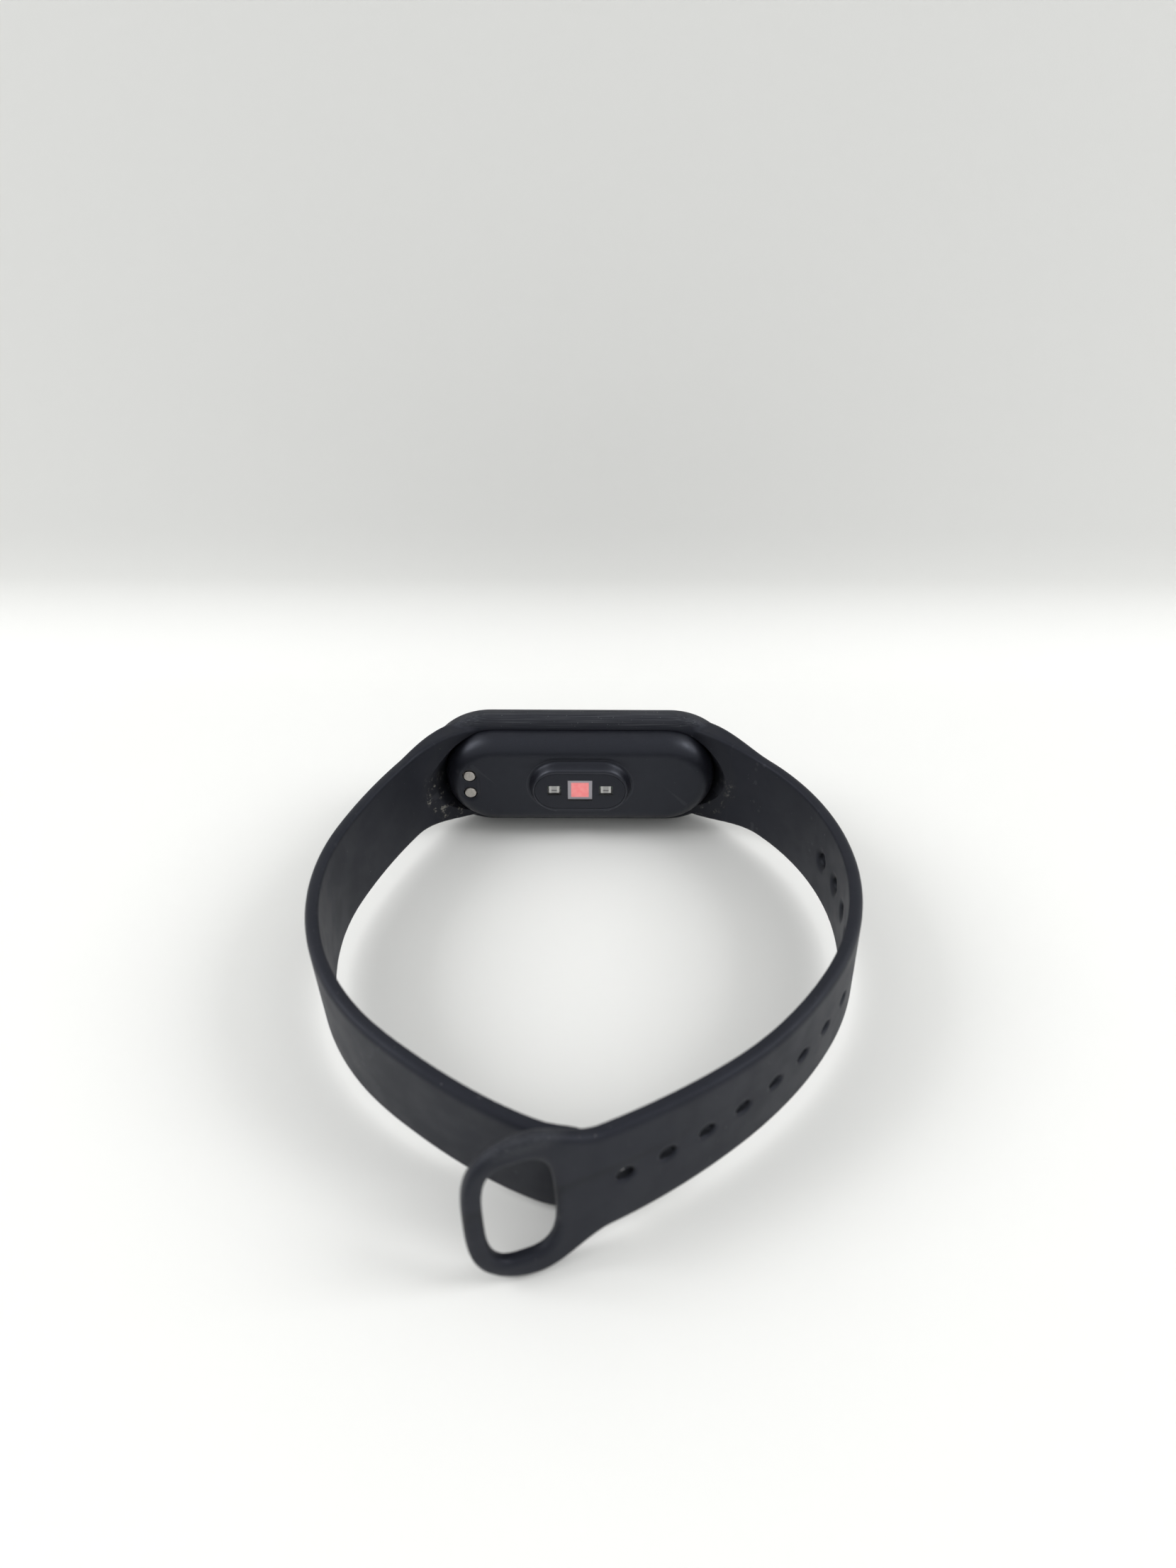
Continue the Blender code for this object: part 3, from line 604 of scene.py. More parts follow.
def build_shell():
    """Back of the capsule: rounded cup with the sensor hump, contact recess, window and pin holes."""
    stations = front_curve(RIM_Y)[::-1]
    for angle in np.radians(np.linspace(0, 90, 28)[1:]):
        y = SEAM_Y - (SEAM_Y - REAR_Y) * math.sin(angle)
        stations.append((y, REAR_INSET * (1 - math.cos(angle))))
    pitch = 0.14                      # between the rings of the flat back
    for inset in np.arange(REAR_INSET + pitch, CAPSULE_WIDTH / 2 - 0.08, pitch):
        stations.append((REAR_Y, inset))
    straight_steps = 130
    rings = []
    for y, inset in stations:
        flat = pill_outline(CAPSULE_LENGTH - 2 * inset, CAPSULE_WIDTH - 2 * inset, straight_steps)
        depth = np.full(len(flat), y)
        if y < SEAM_Y:
            depth -= back_relief(flat[:, 0], flat[:, 1])
        rings.append(np.stack([flat[:, 0], depth, flat[:, 1] + MID_Z], -1))
    points, index, faces = skin_of(rings)
    faces.append(index[0][::-1].tolist())
    last = index[-1]
    top = last[CIRCLE_STEPS:CIRCLE_STEPS + straight_steps + 1]
    bottom = np.roll(last, -(2 * CIRCLE_STEPS + straight_steps))[:straight_steps + 1][::-1]
    faces += np.stack([top[:-1], top[1:], bottom[1:], bottom[:-1]], -1).tolist()
    faces.append(last[:CIRCLE_STEPS + 1].tolist())
    start = CIRCLE_STEPS + straight_steps
    faces.append(last[start:start + CIRCLE_STEPS + 1].tolist())
    shell = object_from("shell", points, faces)

    cavity = []
    for angle in np.radians(np.linspace(0, 90, 8)):
        y = SEAM_Y - (SEAM_Y - REAR_Y - WALL) * math.cos(angle)
        inset = WALL + (REAR_INSET - WALL / 2) * (1 - math.sin(angle))
        cavity.append((y, CAPSULE_LENGTH - 2 * inset, CAPSULE_WIDTH - 2 * inset))
    for y, inset in front_curve(RIM_Y)[1::4]:
        cavity.append((y, CAPSULE_LENGTH - 2 * (inset + WALL), CAPSULE_WIDTH - 2 * (inset + WALL)))
    cavity.append((RIM_Y + 1.0, *cavity[-1][1:]))
    combine(shell, pill("cavity", cavity))
    window = [size + LENS_ROOM for size in LENS_SIZE]
    combine(shell, pill("window", [(y, *window) for y in (HUMP_Y - 1.0, REAR_Y + 2.0)]))
    for side in ("upper", "lower"):
        low, high = box_mm(f"contact_{side}")
        place = along_y((low.x + high.x) / 2, REAR_Y - 1.0, (low.z + high.z) / 2)
        combine(shell, turned("pin_hole", ((CONTACT_HOLE, 0.0), (CONTACT_HOLE, 3.0)), place))
    return shell


def rounded_slab(name, low, high, edge):
    """Pill-shaped plate between two corners, with its wrist-side rim rounded."""
    back_edge = 0.05
    length, width = high.x - low.x, high.z - low.z
    profile = []
    for angle in np.radians(np.linspace(0, 90, 8)):
        inset = 2 * edge * (1 - math.sin(angle))
        profile.append((low.y + edge * (1 - math.cos(angle)), length - inset, width - inset))
    profile.append((high.y - back_edge, length, width))
    profile.append((high.y, length - 2 * back_edge, width - 2 * back_edge))
    return pill(name, profile)


def soft_box(name, low, high, edge):
    """Box between two corners with rounded edges."""
    bm = bmesh.new()
    place = Matrix.Translation((low + high) / 2) @ Matrix.Diagonal((*(high - low), 1.0))
    bmesh.ops.create_cube(bm, size=1.0, matrix=place)
    bmesh.ops.bevel(bm, geom=bm.edges[:], offset=edge, segments=4, profile=0.5, affect="EDGES")
    mesh = bpy.data.meshes.new(name)
    bm.to_mesh(mesh)
    bm.free()
    return new_object(name, mesh)


def build_barrier():
    """Black mask behind the lens, with a window for the photodiode and one for each LED."""
    low, high = box_mm("light_barrier")
    low.y = PANE_BACK + 0.04
    barrier = rounded_slab("barrier", low, high, 0.08)
    for node, margin in (("photodiode", PACKAGE_BORDER + 0.05), ("led_left", 0.3), ("led_right", 0.3)):
        chip_low, chip_high = box_mm(node)
        spread = Vector((margin, 0.0, margin))
        corner_low = Vector((chip_low.x, low.y - 1.0, chip_low.z)) - spread
        corner_high = Vector((chip_high.x, high.y + 1.0, chip_high.z)) + spread
        combine(barrier, soft_box("window", corner_low, corner_high, 0.25))
    return barrier


def build_chip(node, border, edge):
    """Package of a chip behind the window, wider than its CAD node by a border."""
    low, high = box_mm(node)
    low.y = PANE_BACK + 0.08
    spread = Vector((border, 0.0, border))
    return soft_box("chip", low - spread, high + spread, edge)


def build_contact(side):
    """Domed pin face with a turned rim and the flange inside the shell."""
    low, high = box_mm(f"contact_{side}")
    flange = (high.x - low.x) / 2
    profile = [(0.06, -0.02), (0.5, -0.01), (0.72, 0.0)]
    rim = 0.2
    for angle in np.linspace(0.3, 1.57, 6):
        profile.append((CONTACT_RADIUS - rim + rim * math.sin(angle), rim - rim * math.cos(angle)))
    neck = high.y - low.y - 0.5
    profile += [(CONTACT_RADIUS, neck), (flange - 0.06, neck), (flange, neck + 0.06), (flange, neck + 0.5)]
    place = along_y((low.x + high.x) / 2, low.y + 0.02, (low.z + high.z) / 2)
    return turned("contact", profile, place)


def build_glass():
    """Front glass with its rim curved back."""
    profile = []
    for y, inset in front_curve(GLASS_Y):
        if y > GLASS_LOW.y:
            profile.append((y, CAPSULE_LENGTH - 2 * inset, CAPSULE_WIDTH - 2 * inset))
    profile.insert(0, (GLASS_LOW.y, *profile[0][1:]))
    return pill("glass", profile)


def build_peg():
    """Mushroom stud: flange in the strap, narrow neck and rounded head."""
    flange = ((0.1, 0.12), (1.9, 0.12), (2.2, 0.05), (2.3, -0.1), (2.3, -0.5), (2.1, -0.62))
    neck = curve_through(((1.3, -0.75), (1.15, -1.0), (1.12, -2.2), (1.2, -2.9)), 4)
    dome = ((1.75, -3.1), (1.95, -3.45), (1.9, -3.9), (1.5, -4.4), (0.8, -4.68), (0.1, -4.75))
    head = curve_through(dome, 5)
    return turned("peg", [*flange, *neck, *head], stud_place())


# ---- materials

class Look:
    """Node material whose patterns are laid out in millimetres."""

    def __init__(self, name):
        self.material = bpy.data.materials.new(name)
        self.material.use_nodes = True
        self.tree = self.material.node_tree
        self.shader = self.tree.nodes["Principled BSDF"]
        scaled = self.node("VectorMath", self.node("TexCoord").outputs["Object"])
        scaled.operation = "SCALE"
        scaled.inputs["Scale"].default_value = 1 / MM
        self.place = scaled.outputs[0]
        self.x, self.y, self.z = self.node("SeparateXYZ", self.place).outputs
        self.rise = self.calc("SUBTRACT", self.z, MID_Z)

    def put(self, socket, value):
        if isinstance(value, bpy.types.NodeSocket):
            self.tree.links.new(value, socket)
        else:
            socket.default_value = value

    def node(self, kind, *values):
        """New node whose inputs take the values in their order, but for those that are None."""
        node = self.tree.nodes.new(f"ShaderNode{kind}")
        for socket, value in zip(node.inputs, values):
            if value is not None:
                self.put(socket, value)
        return node

    def set(self, **values):
        for name, value in values.items():
            self.put(self.shader.inputs[name.replace("_", " ")], value)

    def stretched(self, stretch):
        """Place whose axes are multiplied, for a pattern that is finer along some of them."""
        node = self.node("VectorMath", self.place, stretch)
        node.operation = "MULTIPLY"
        return node.outputs[0]

    def calc(self, operation, first, second=None):
        node = self.node("Math", first, second)
        node.operation = operation
        return node.outputs[0]

    def size(self, value):
        return self.calc("ABSOLUTE", value)

    def both(self, first, second):
        return self.calc("MULTIPLY", first, second)

    def either(self, first, second):
        return self.calc("MAXIMUM", first, second)

    def noise(self, scale, detail=2.0, stretch=(1, 1, 1), roughness=0.5):
        return self.node("TexNoise", self.stretched(stretch), None, scale, detail, roughness).outputs["Fac"]

    def specks(self, scale, size, share):
        """Mask of scattered dots, in some of the cells of a scatter."""
        node = self.node("TexVoronoi", self.place, None, scale)
        dot = self.levels(node.outputs["Distance"], size * scale, size * scale * 0.4)
        split = self.node("SeparateColor", node.outputs["Color"])
        return self.both(dot, self.calc("LESS_THAN", split.outputs[0], share))

    def levels(self, value, low, high, start=0.0, finish=1.0):
        """Value between low and high turned smoothly into start to finish."""
        node = self.node("MapRange", value, low, high, start, finish)
        node.interpolation_type = "SMOOTHSTEP"
        return node.outputs["Result"]

    def blend(self, share, first, second):
        """Colour between two colours."""
        node = self.node("Mix", share)
        node.data_type = "RGBA"
        for socket, color in ((node.inputs[6], first), (node.inputs[7], second)):
            self.put(socket, (*color, 1.0) if isinstance(color, tuple) else color)
        return node.outputs[2]

    def show(self, shader):
        self.put(self.tree.nodes["Material Output"].inputs["Surface"], shader)

    def mix(self, share, first, second):
        """Shader between two shaders."""
        return self.node("MixShader", share, first, second).outputs[0]

    def stain(self, color, mask, strength, stain):
        """Colour with another colour over it, at a strength, where a mask is 1."""
        return self.blend(self.both(mask, strength), color, stain)

    def attribute(self, name):
        node = self.node("Attribute")
        node.attribute_name = name
        return node.outputs["Fac"]

    def pointiness(self):
        return self.node("NewGeometry").outputs["Pointiness"]

    def pill_edge(self, length, width):
        """Distance outside a pill outline on the capsule's back, in millimetres."""
        beyond = self.calc("SUBTRACT", self.size(self.x), (length - width) / 2)
        over = self.either(beyond, 0.0)
        squares = self.calc("ADD", self.both(over, over), self.both(self.rise, self.rise))
        return self.calc("SUBTRACT", self.calc("SQRT", squares), width / 2)

    def box_edge(self, x, half_x, half_z, rise=0.0):
        """Distance outside a rectangle on the capsule's back, in millimetres."""
        wide = self.calc("SUBTRACT", self.size(self.calc("SUBTRACT", self.x, x)), half_x)
        tall = self.calc("SUBTRACT", self.size(self.calc("SUBTRACT", self.rise, rise)), half_z)
        return self.either(wide, tall)

    def line(self, distance, width):
        """Mask of a thin line where a distance is zero."""
        return self.levels(self.size(distance), width, width * 0.4)

    def between(self, value, low, high, soft):
        """Mask that is 1 between two values."""
        rise = self.levels(value, low - soft, low + soft)
        return self.both(rise, self.levels(value, high + soft, high - soft))

    def bump(self, height, depth):
        """Relief of a height of 0 to 1 over a depth in millimetres, added to what is there."""
        node = self.node("Bump")
        node.inputs["Distance"].default_value = depth * MM
        self.put(node.inputs["Height"], height)
        normal = self.shader.inputs["Normal"]
        if normal.links:
            self.put(node.inputs["Normal"], normal.links[0].from_socket)
        self.put(normal, node.outputs["Normal"])


def rubber_look():
    """Matte dark grey silicone with dust, faint scuffs, painted shade on the walls of its holes, and edges
    lightened partly by dust and partly by a painted highlight.
    """
    look = Look("strap_rubber")
    tone = look.noise(0.12, 3.0)
    color = look.blend(look.levels(tone, 0.3, 0.7), (0.0052, 0.0055, 0.009), (0.0072, 0.0076, 0.0118))
    grain = look.noise(3.0, 4.0)
    color = look.blend(look.levels(grain, 0.35, 0.8, 0.0, 0.2), color, (0.011, 0.0115, 0.017))

    along, above, out = (look.attribute(name) for name in ("along", "above", "out"))
    middle = look.levels(look.size(look.x), 25.0, 20.0)
    on_surround = look.both(middle, look.levels(look.rise, 9.0, 10.5))
    streaks = look.noise(2.6, 3.0, (0.05, 3.0, 3.0))
    dusty = look.both(on_surround, look.levels(streaks, 0.4, 0.75))
    color = look.stain(color, on_surround, 0.7, (0.016, 0.0165, 0.02))
    color = look.stain(color, dusty, 0.7, (0.06, 0.062, 0.068))
    dust = look.both(on_surround, look.specks(2.0, 0.06, 0.5))
    color = look.stain(color, dust, 0.7, (0.3, 0.3, 0.31))
    # painted shade: near the middle of the strap's width and thickness, on the walls of its holes and
    # cut-outs and the middle of its ends, the colour is darkened almost to black
    central = look.levels(look.size(above), 3.0, 2.2)
    painted_hole_shade = look.both(central, look.levels(look.size(out), 0.9, 0.6))
    color = look.stain(color, painted_hole_shade, 0.8, (0.001, 0.001, 0.0015))

    pocket = look.pill_edge(CAPSULE_LENGTH, CAPSULE_WIDTH)
    ends = look.both(look.between(pocket, 0.1, 3.4, 0.4), look.between(look.y, -9.5, -2.8, 0.5))
    left = look.levels(look.x, 10.0, -10.0, 0.35, 1.0)
    low = look.levels(look.rise, 3.5, -2.5)
    crumbs = look.levels(look.noise(0.9, 6.0, roughness=0.7), 0.55, 0.68)
    dirt = look.both(look.both(ends, crumbs), look.both(left, low))
    color = look.stain(color, ends, 0.5, (0.008, 0.008, 0.01))
    color = look.stain(color, dirt, 0.85, (0.25, 0.24, 0.21))

    inner_left = look.both(look.between(along, -62.0, -38.0, 6.0), look.levels(out, -0.2, -0.8))
    scuffs = look.levels(look.noise(1.1, 5.0, (1.0, 1.0, 0.25), 0.7), 0.55, 0.75)
    scuffed = look.both(inner_left, scuffs)
    color = look.stain(color, scuffed, 0.3, (0.1, 0.1, 0.11))

    specks = look.either(look.specks(0.55, 0.09, 0.35), look.specks(1.3, 0.05, 0.2))
    color = look.stain(color, specks, 0.7, (0.3, 0.3, 0.3))
    # painted highlight mixed with dust: the strap's convex edges, found by pointiness, are lightened
    edges = look.levels(look.pointiness(), 0.52, 0.6)
    color = look.stain(color, edges, 0.35, (0.045, 0.046, 0.052))

    worn = look.either(scuffed, dusty)
    sheen = look.levels(look.noise(0.2, 3.0), 0.3, 0.7, 0.5, 0.58)
    roughness = look.calc("ADD", sheen, look.both(worn, 0.15))
    look.set(Base_Color=color, Roughness=roughness, IOR=1.4, Specular_Tint=COOL)
    look.bump(look.noise(7.0, 3.0), 0.006)
    look.bump(look.either(specks, dirt), 0.02)
    return look.material


def shell_look():
    """Fine-textured blue-black polycarbonate with faint moulded rings round the sensor, and edges lightened
    partly by dust and partly by a painted highlight.
    """
    look = Look("shell_plastic")
    grain = look.noise(5.0, 3.0)
    color = look.blend(look.levels(grain, 0.3, 0.75), (0.006, 0.0063, 0.0095), (0.0085, 0.0088, 0.013))
    ring = look.line(look.pill_edge(*GROOVE_SIZE), 0.14)
    rim = look.line(look.pill_edge(LENS_SIZE[0] + 0.5, LENS_SIZE[1] + 0.5), 0.14)
    behind = look.levels(look.y, REAR_Y + 0.5, REAR_Y + 0.1)
    plateau = look.line(look.pill_edge(HUMP_SIZE[0] - 0.3, HUMP_SIZE[1] - 0.3), 0.16)
    rings = look.both(look.either(look.either(ring, rim), plateau), behind)
    color = look.stain(color, rings, 0.55, (0.03, 0.031, 0.038))
    specks = look.either(look.specks(0.5, 0.07, 0.25), look.specks(1.5, 0.04, 0.12))
    color = look.stain(color, specks, 0.6, (0.25, 0.25, 0.26))
    # painted highlight mixed with dust: the shell's convex edges, found by pointiness, are lightened
    edges = look.levels(look.pointiness(), 0.53, 0.62)
    color = look.stain(color, edges, 0.25, (0.05, 0.05, 0.056))
    roughness = look.levels(look.noise(0.8, 3.0), 0.3, 0.7, 0.36, 0.46)
    look.set(Base_Color=color, Roughness=roughness, IOR=1.46, Specular_Tint=COOL)
    look.bump(look.noise(9.0, 2.0), 0.006)
    return look.material


def lens_look():
    """Window printed black on its back but for clear openings over the photodiode and the LEDs."""
    look = Look("sensor_lens")
    distance = look.box_edge(0.0, *half_size("photodiode", PACKAGE_BORDER), OPENING_RISE)
    opening = look.levels(distance, 0.06, -0.02)
    for side in ("left", "right"):
        low, high = box_mm(f"led_{side}")
        distance = look.box_edge((low.x + high.x) / 2, *half_size(f"led_{side}", 0.28), OPENING_RISE)
        opening = look.either(opening, look.levels(distance, 0.06, -0.02))
    grain = look.levels(look.noise(5.0, 3.0), 0.3, 0.75)
    look.set(Base_Color=look.blend(grain, (0.006, 0.0063, 0.0095), (0.0085, 0.0088, 0.013)), IOR=1.42)
    look.set(Specular_Tint=COOL)
    look.set(Roughness=look.levels(look.noise(1.2, 4.0), 0.3, 0.7, 0.36, 0.44))
    clear = look.node("BsdfTransparent", (0.92, 0.92, 0.93, 1.0))
    gloss = look.node("BsdfGlossy")
    gloss.inputs["Roughness"].default_value = 0.3
    facing = look.node("Fresnel", 1.35)
    pane = look.mix(facing.outputs[0], clear.outputs[0], gloss.outputs[0])
    look.show(look.mix(opening, look.shader.outputs[0], pane))
    return look.material


def barrier_look():
    look = Look("barrier_plastic")
    color = look.blend(look.noise(4.0, 3.0), (0.007, 0.0072, 0.0105), (0.011, 0.0115, 0.016))
    look.set(Base_Color=color, Roughness=look.levels(look.noise(2.0), 0.3, 0.7, 0.45, 0.6))
    look.bump(look.noise(8.0), 0.008)
    return look.material


def photodiode_look():
    """Pink filter square in a pale package frame."""
    look = Look("photodiode")
    edge = look.box_edge(0.0, *half_size("photodiode", -0.05))
    tone = look.blend(look.levels(look.noise(1.3, 2.0), 0.3, 0.7), (0.93, 0.24, 0.235), (0.98, 0.31, 0.3))
    frame_mask = look.levels(edge, -0.03, 0.05)
    color = look.blend(frame_mask, tone, (0.3, 0.29, 0.31))
    # painted light: the filter and its frame glow with their own colour
    look.set(Base_Color=color, Roughness=0.35, Emission_Color=color, Emission_Strength=0.7)
    look.bump(look.levels(edge, 0.06, -0.02), 0.03)
    return look.material


def led_look():
    """Pale ceramic package with a clear bead and a dark lead line across it."""
    look = Look("led_package")
    low, high = box_mm("led_right")
    middle = (low.x + high.x) / 2
    offset = look.calc("SUBTRACT", look.size(look.x), middle)
    lead = look.both(look.line(look.calc("ADD", look.rise, 0.12), 0.16),
                     look.levels(look.size(offset), 0.55, 0.4))
    bead = look.levels(look.size(offset), 0.5, 0.42)
    color = look.blend(bead, (0.62, 0.62, 0.58), (0.42, 0.42, 0.4))
    color = look.stain(color, lead, 0.85, (0.03, 0.03, 0.03))
    grain = look.levels(look.noise(6.0, 2.0), 0.3, 0.7)
    look.set(Base_Color=color, Roughness=look.calc("ADD", look.both(grain, 0.15), 0.35))
    # painted light: the LED package glows with its own colour
    look.set(Emission_Color=color, Emission_Strength=0.45)
    look.bump(bead, 0.03)
    return look.material


def metal_look(name, base, roughness, brushed=(1, 1, 1), dirt=0.0):
    """Metal with fine scratches, and patches of dirt at the given strength."""
    look = Look(name)
    scratches = look.noise(6.0, 4.0, brushed, 0.7)
    darker = tuple(channel * 0.75 for channel in base)
    color = look.blend(look.levels(scratches, 0.3, 0.7), darker, base)
    grime = look.levels(look.noise(2.2, 5.0, roughness=0.7), 0.5, 0.7)
    color = look.stain(color, grime, dirt, (0.06, 0.055, 0.05))
    look.set(Base_Color=color, Metallic=1.0)
    look.set(Roughness=look.levels(scratches, 0.2, 0.8, roughness, roughness + 0.2))
    look.bump(scratches, 0.006)
    return look.material


def plain_look(name, first, second, roughness, scale=2.0, metallic=0.0, stretch=(1, 1, 1), relief=0.01):
    """Mottled moulded or coated surface."""
    look = Look(name)
    pattern = look.noise(scale, 4.0, stretch)
    color = look.blend(look.levels(pattern, 0.3, 0.7), first, second)
    look.set(Base_Color=color, Metallic=metallic)
    look.set(Roughness=look.levels(look.noise(scale * 1.7), 0.3, 0.7, roughness, roughness + 0.15))
    look.bump(pattern, relief)
    return look.material


def board_look():
    """Green solder mask with copper tracks beneath and pale printed pads."""
    look = Look("circuit_board")
    bricks = look.node("TexBrick", look.stretched((1.0, 0.0, 1.0)))
    bricks.inputs["Scale"].default_value = 0.9
    bricks.inputs["Mortar Size"].default_value = 0.05
    tracks = bricks.outputs["Fac"]
    color = look.blend(look.noise(1.0, 3.0), (0.012, 0.07, 0.03), (0.02, 0.1, 0.045))
    color = look.blend(tracks, color, (0.03, 0.16, 0.07))
    color = look.blend(look.specks(0.8, 0.22, 0.4), color, (0.6, 0.5, 0.25))
    look.set(Base_Color=color, Roughness=look.levels(look.noise(3.0), 0.3, 0.7, 0.28, 0.42))
    look.bump(tracks, 0.03)
    return look.material


def glass_look():
    """Black cover glass: the display under it is a shade lighter than the printed border."""
    look = Look("front_glass")
    display = look.levels(look.box_edge(0.0, *half_size("display_panel", -0.6)), 0.1, -0.1)
    color = look.blend(display, (0.003, 0.003, 0.0035), (0.006, 0.006, 0.008))
    smudge = look.levels(look.noise(0.15, 4.0, roughness=0.6), 0.4, 0.7, 0.04, 0.12)
    look.set(Base_Color=color, Roughness=smudge, IOR=1.5)
    look.bump(look.noise(0.3, 2.0), 0.004)
    return look.material


def paper_look(name, color, roughness, upper=None, one_sided=False):
    """Matte paper with faint tone and fibre, that may change colour with height: on the backdrop this is
    painted shade.
    """
    look = Look(name)
    shade = tuple(channel * 0.985 for channel in color)
    sheet = look.blend(look.noise(0.03, 3.0), shade, color)
    # painted shade: above 2 mm the paper blends towards the upper colour, which is darker on the backdrop
    sheet = look.blend(look.levels(look.z, 2.0, 30.0), sheet, upper or color)
    look.set(Base_Color=sheet, Roughness=roughness, Specular_IOR_Level=0.2)
    look.bump(look.noise(2.5, 3.0), 0.01)
    if one_sided:
        clear = look.node("BsdfTransparent").outputs[0]
        behind = look.node("NewGeometry").outputs["Backfacing"]
        look.show(look.mix(behind, look.shader.outputs[0], clear))
    return look.material


# ---- assembly

def build_strap():
    rubber = rubber_look()
    whole = build_cradle()
    for half, name in ((HOLED, "holed_root"), (STUD, "stud_root")):
        finish_strap_piece(whole, half, 0, name, rubber)
        longer, whole = whole, part_at(whole, half, half["cuts"][0], False, "surround")
        bpy.data.objects.remove(longer)
    tag_strap(whole)
    finish_piece(whole, "strap_skin_surround", rubber, "strap_rubber", "strap_cradle", "band")

    for whole, half, names in (
        (build_holed_half(), HOLED, ("holed_middle", "holed_loop")),
        (build_stud_half(), STUD, ("stud_middle", "stud_tip")),
    ):
        for joint, name in enumerate(names, 1):
            finish_strap_piece(whole, half, joint, name, rubber)
        bpy.data.objects.remove(whole)
    steel = metal_look("stud_metal", (0.2, 0.2, 0.21), 0.3)
    finish_piece(build_peg(), "stud_turned", steel, "stud_metal", "stud_peg", "stud_end")


def build_capsule():
    lens = rounded_slab("lens", LENS_LOW, Vector((LENS_HIGH.x, PANE_BACK, LENS_HIGH.z)), 0.06)
    diode = build_chip("photodiode", PACKAGE_BORDER, 0.06)
    pieces = [
        (build_shell(), "capsule_shell", shell_look(), "shell_plastic", "rear_shell"),
        (lens, "sensor_window", lens_look(), "lens_plastic", "sensor_lens"),
        (build_barrier(), "sensor_mask", barrier_look(), "barrier_plastic", "light_barrier"),
        (diode, "photodiode_chip", photodiode_look(), "photodiode", "photodiode"),
    ]
    led = led_look()
    for side in ("left", "right"):
        node = f"led_{side}"
        pieces.append((build_chip(node, 0.0, 0.08), f"led_chip_{side}", led, "led_package", node))
    nickel = metal_look("contact_nickel", (0.62, 0.59, 0.55), 0.42, (1.0, 1.0, 0.3), dirt=0.25)
    for side in ("upper", "lower"):
        pin = build_contact(side)
        pieces.append((pin, f"charging_pin_{side}", nickel, "contact_nickel", f"contact_{side}"))
    for piece in pieces:
        finish_piece(*piece, "capsule")
    finish_piece(build_glass(), "cover_glass", glass_look(), "front_glass", "front_glass", "capsule", 60.0)


def dress_inside():
    """Materials of the pieces inside the capsule, which keep their CAD shapes."""
    board = board_look()
    chip = plain_look("chip_epoxy", (0.012, 0.012, 0.013), (0.025, 0.025, 0.027), 0.5, 3.0)
    foil = plain_look("cell_foil", (0.55, 0.55, 0.53), (0.72, 0.72, 0.7), 0.3, 0.5, 0.7, relief=0.05)
    copper = plain_look("flex_polyimide", (0.45, 0.2, 0.05), (0.6, 0.3, 0.09), 0.35, 1.2, 0.0, (1, 1, 6))
    steel = metal_look("motor_steel", (0.6, 0.6, 0.61), 0.25, (1.0, 0.2, 1.0))
    tungsten = metal_look("weight_tungsten", (0.3, 0.3, 0.31), 0.45)
    tin = metal_look("connector_metal", (0.65, 0.63, 0.58), 0.3)
    black = plain_look("frame_plastic", (0.008, 0.008, 0.009), (0.016, 0.016, 0.018), 0.5, 4.0)
    black_glass = (0.006, 0.006, 0.008), (0.012, 0.012, 0.016)
    panel = plain_look("display_black", *black_glass, 0.08, 0.4, relief=0.002)
    foam = plain_look("seal_foam", (0.02, 0.02, 0.021), (0.045, 0.045, 0.046), 0.8, 6.0, relief=0.06)
    looks = {
        "sensor_board": board, "main_board": board, "processor_chip": chip, "memory_chip": chip,
        "motion_chip": chip, "battery": foil, "battery_connector": tin, "charge_flex": copper,
        "display_flex": copper, "antenna_strip": copper, "motor_can": steel, "motor_base": steel,
        "motor_shaft": steel, "motor_weight": tungsten, "mid_frame": black, "display_panel": panel,
        "glass_seal": foam,
    }
    for node, look in looks.items():
        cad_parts[node].data.materials.clear()
        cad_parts[node].data.materials.append(look)


def add_sheet(name, path, look):
    """Wide sheet along X whose section is a path of (y, z) points."""
    reach = 3.0
    points = [(x, y, z) for y, z in path for x in (-reach, reach)]
    faces = [(2 * i, 2 * i + 1, 2 * i + 3, 2 * i + 2) for i in range(len(path) - 1)]
    mesh = bpy.data.meshes.new(name)
    mesh.from_pydata(points, [], faces)
    mesh.shade_smooth()
    mesh.materials.append(look)
    new_object(name, mesh)


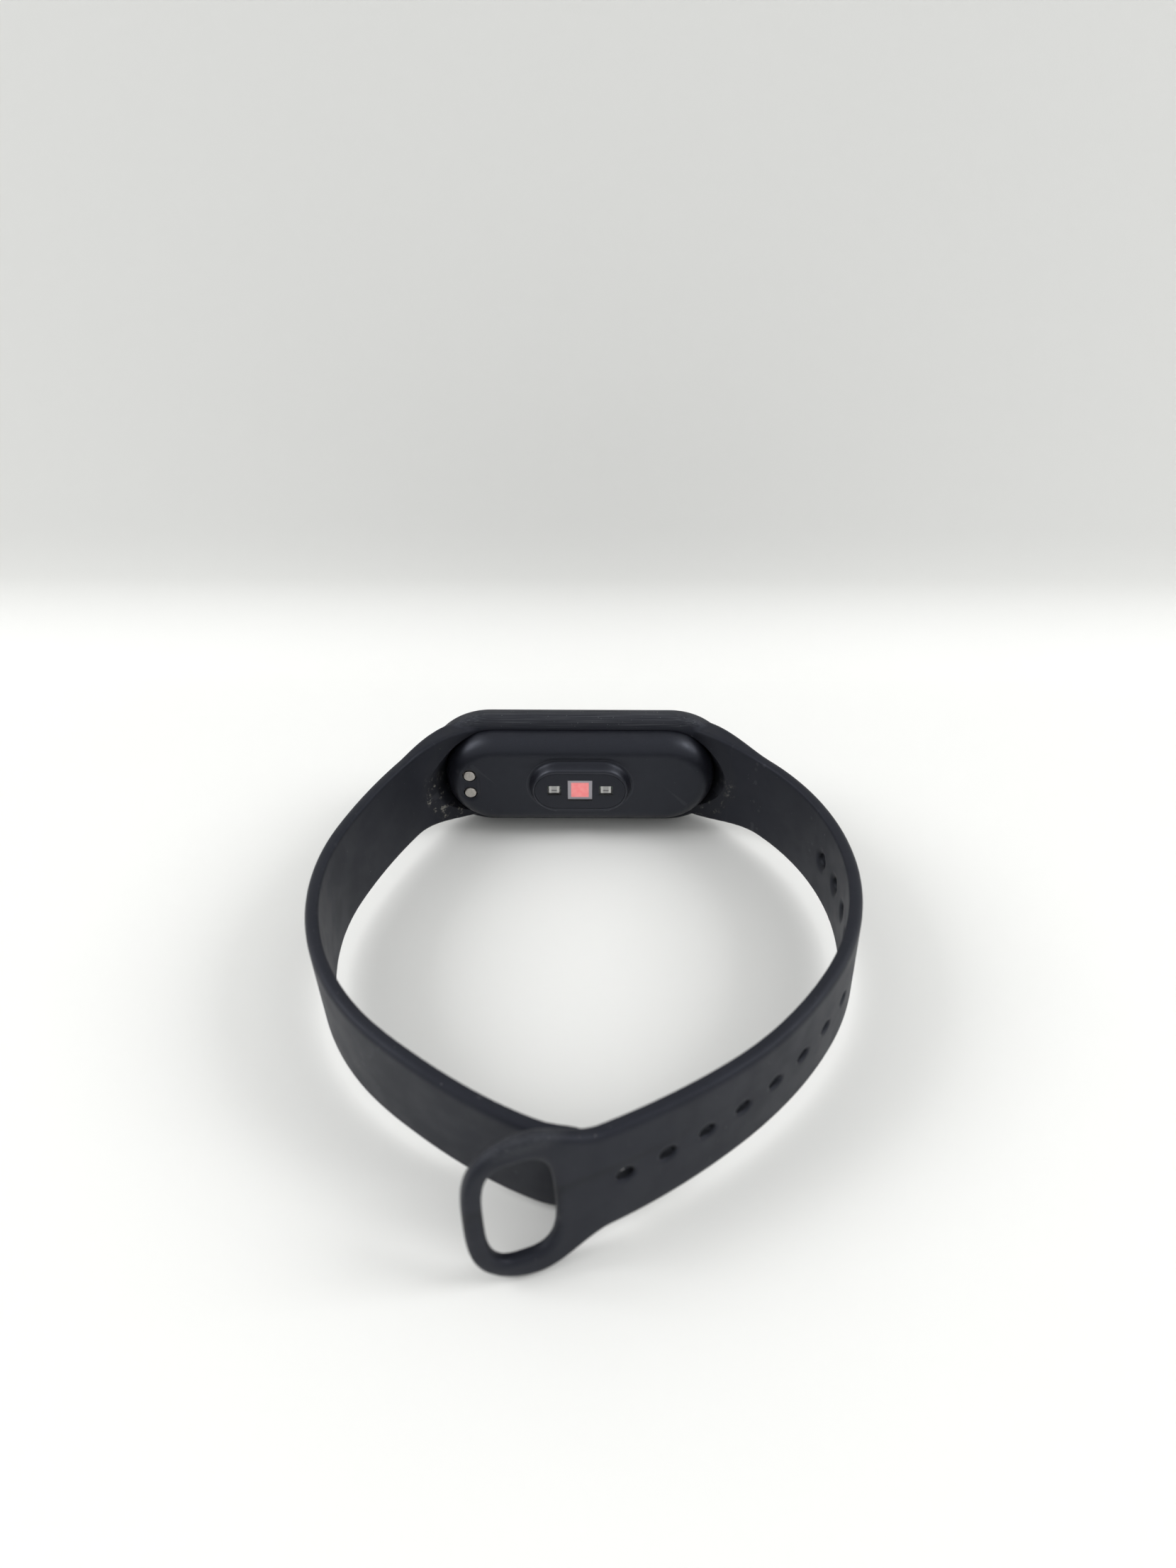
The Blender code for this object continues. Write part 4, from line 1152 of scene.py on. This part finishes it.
def build_stage():
    """Pale paper floor, and a backdrop that sweeps up behind the band, is darker higher up as painted
    shade, and is clear from its back.
    """
    paper = (0.87, 0.87, 0.86)
    bend, radius, top, reach = 0.046, 0.016, 0.9, 3.0
    add_sheet("paper_floor", [(-reach, 0.0), (reach, 0.0)], paper_look("paper", paper, 0.8))
    sweep = []
    for angle in np.radians(np.linspace(0, 90, 25)):
        sweep.append((bend + radius * math.sin(angle), radius * (1 - math.cos(angle))))
    sweep.append((bend + radius, top))
    # painted shade: the backdrop's paper turns darker as it rises
    shade = tuple(channel * 0.84 for channel in paper)
    add_sheet("backdrop", sweep, paper_look("backdrop_paper", paper, 0.8, shade, one_sided=True))


def area_light(name, place, target, size, power):
    data = bpy.data.lights.new(name, "AREA")
    data.shape = "RECTANGLE"
    data.size, data.size_y = size
    data.energy = power
    lamp = new_object(name, data)
    lamp.location = place
    lamp.rotation_euler = (Vector(target) - Vector(place)).to_track_quat("-Z", "Y").to_euler()


def build_lights():
    middle = (0.0, -0.04, 0.0)
    area_light("left_softbox", (-0.6, -0.02, 0.5), middle, (0.4, 0.4), 3.1)
    area_light("right_softbox", (0.6, -0.02, 0.5), middle, (0.4, 0.4), 3.0)
    world = bpy.data.worlds.new("studio")
    world.use_nodes = True
    background = world.node_tree.nodes["Background"]
    background.inputs["Color"].default_value = (0.99, 1.0, 0.985, 1.0)
    background.inputs["Strength"].default_value = 0.74
    bpy.context.scene.world = world


def build_camera():
    """Camera above the wrist side, looking down through the loop at the capsule's back."""
    pitch, roll = math.radians(38.25), math.radians(0.21)
    focal_share = 1499 / 2212         # focal length over the image's long side
    place = (0.001378, -0.150398, 0.125428)
    to_capsule = 0.178
    ahead = Vector((0.0, math.cos(pitch), -math.sin(pitch)))
    level = Vector((1.0, 0.0, 0.0))
    above = level.cross(ahead)
    right = level * math.cos(roll) + above * math.sin(roll)
    up = above * math.cos(roll) - level * math.sin(roll)
    data = bpy.data.cameras.new("camera")
    data.sensor_width = 36.0
    data.lens = focal_share * data.sensor_width
    data.clip_start, data.clip_end = 0.005, 10.0
    data.dof.use_dof = True
    data.dof.focus_distance = to_capsule
    data.dof.aperture_fstop = 16.0
    camera = new_object("camera", data)
    axes = Matrix((right, up, -ahead)).transposed().to_4x4()
    camera.matrix_world = Matrix.Translation(place) @ axes
    bpy.context.scene.camera = camera


build_strap()
build_capsule()
dress_inside()
build_stage()
build_lights()
build_camera()
bpy.context.scene.view_settings.view_transform = "Standard"
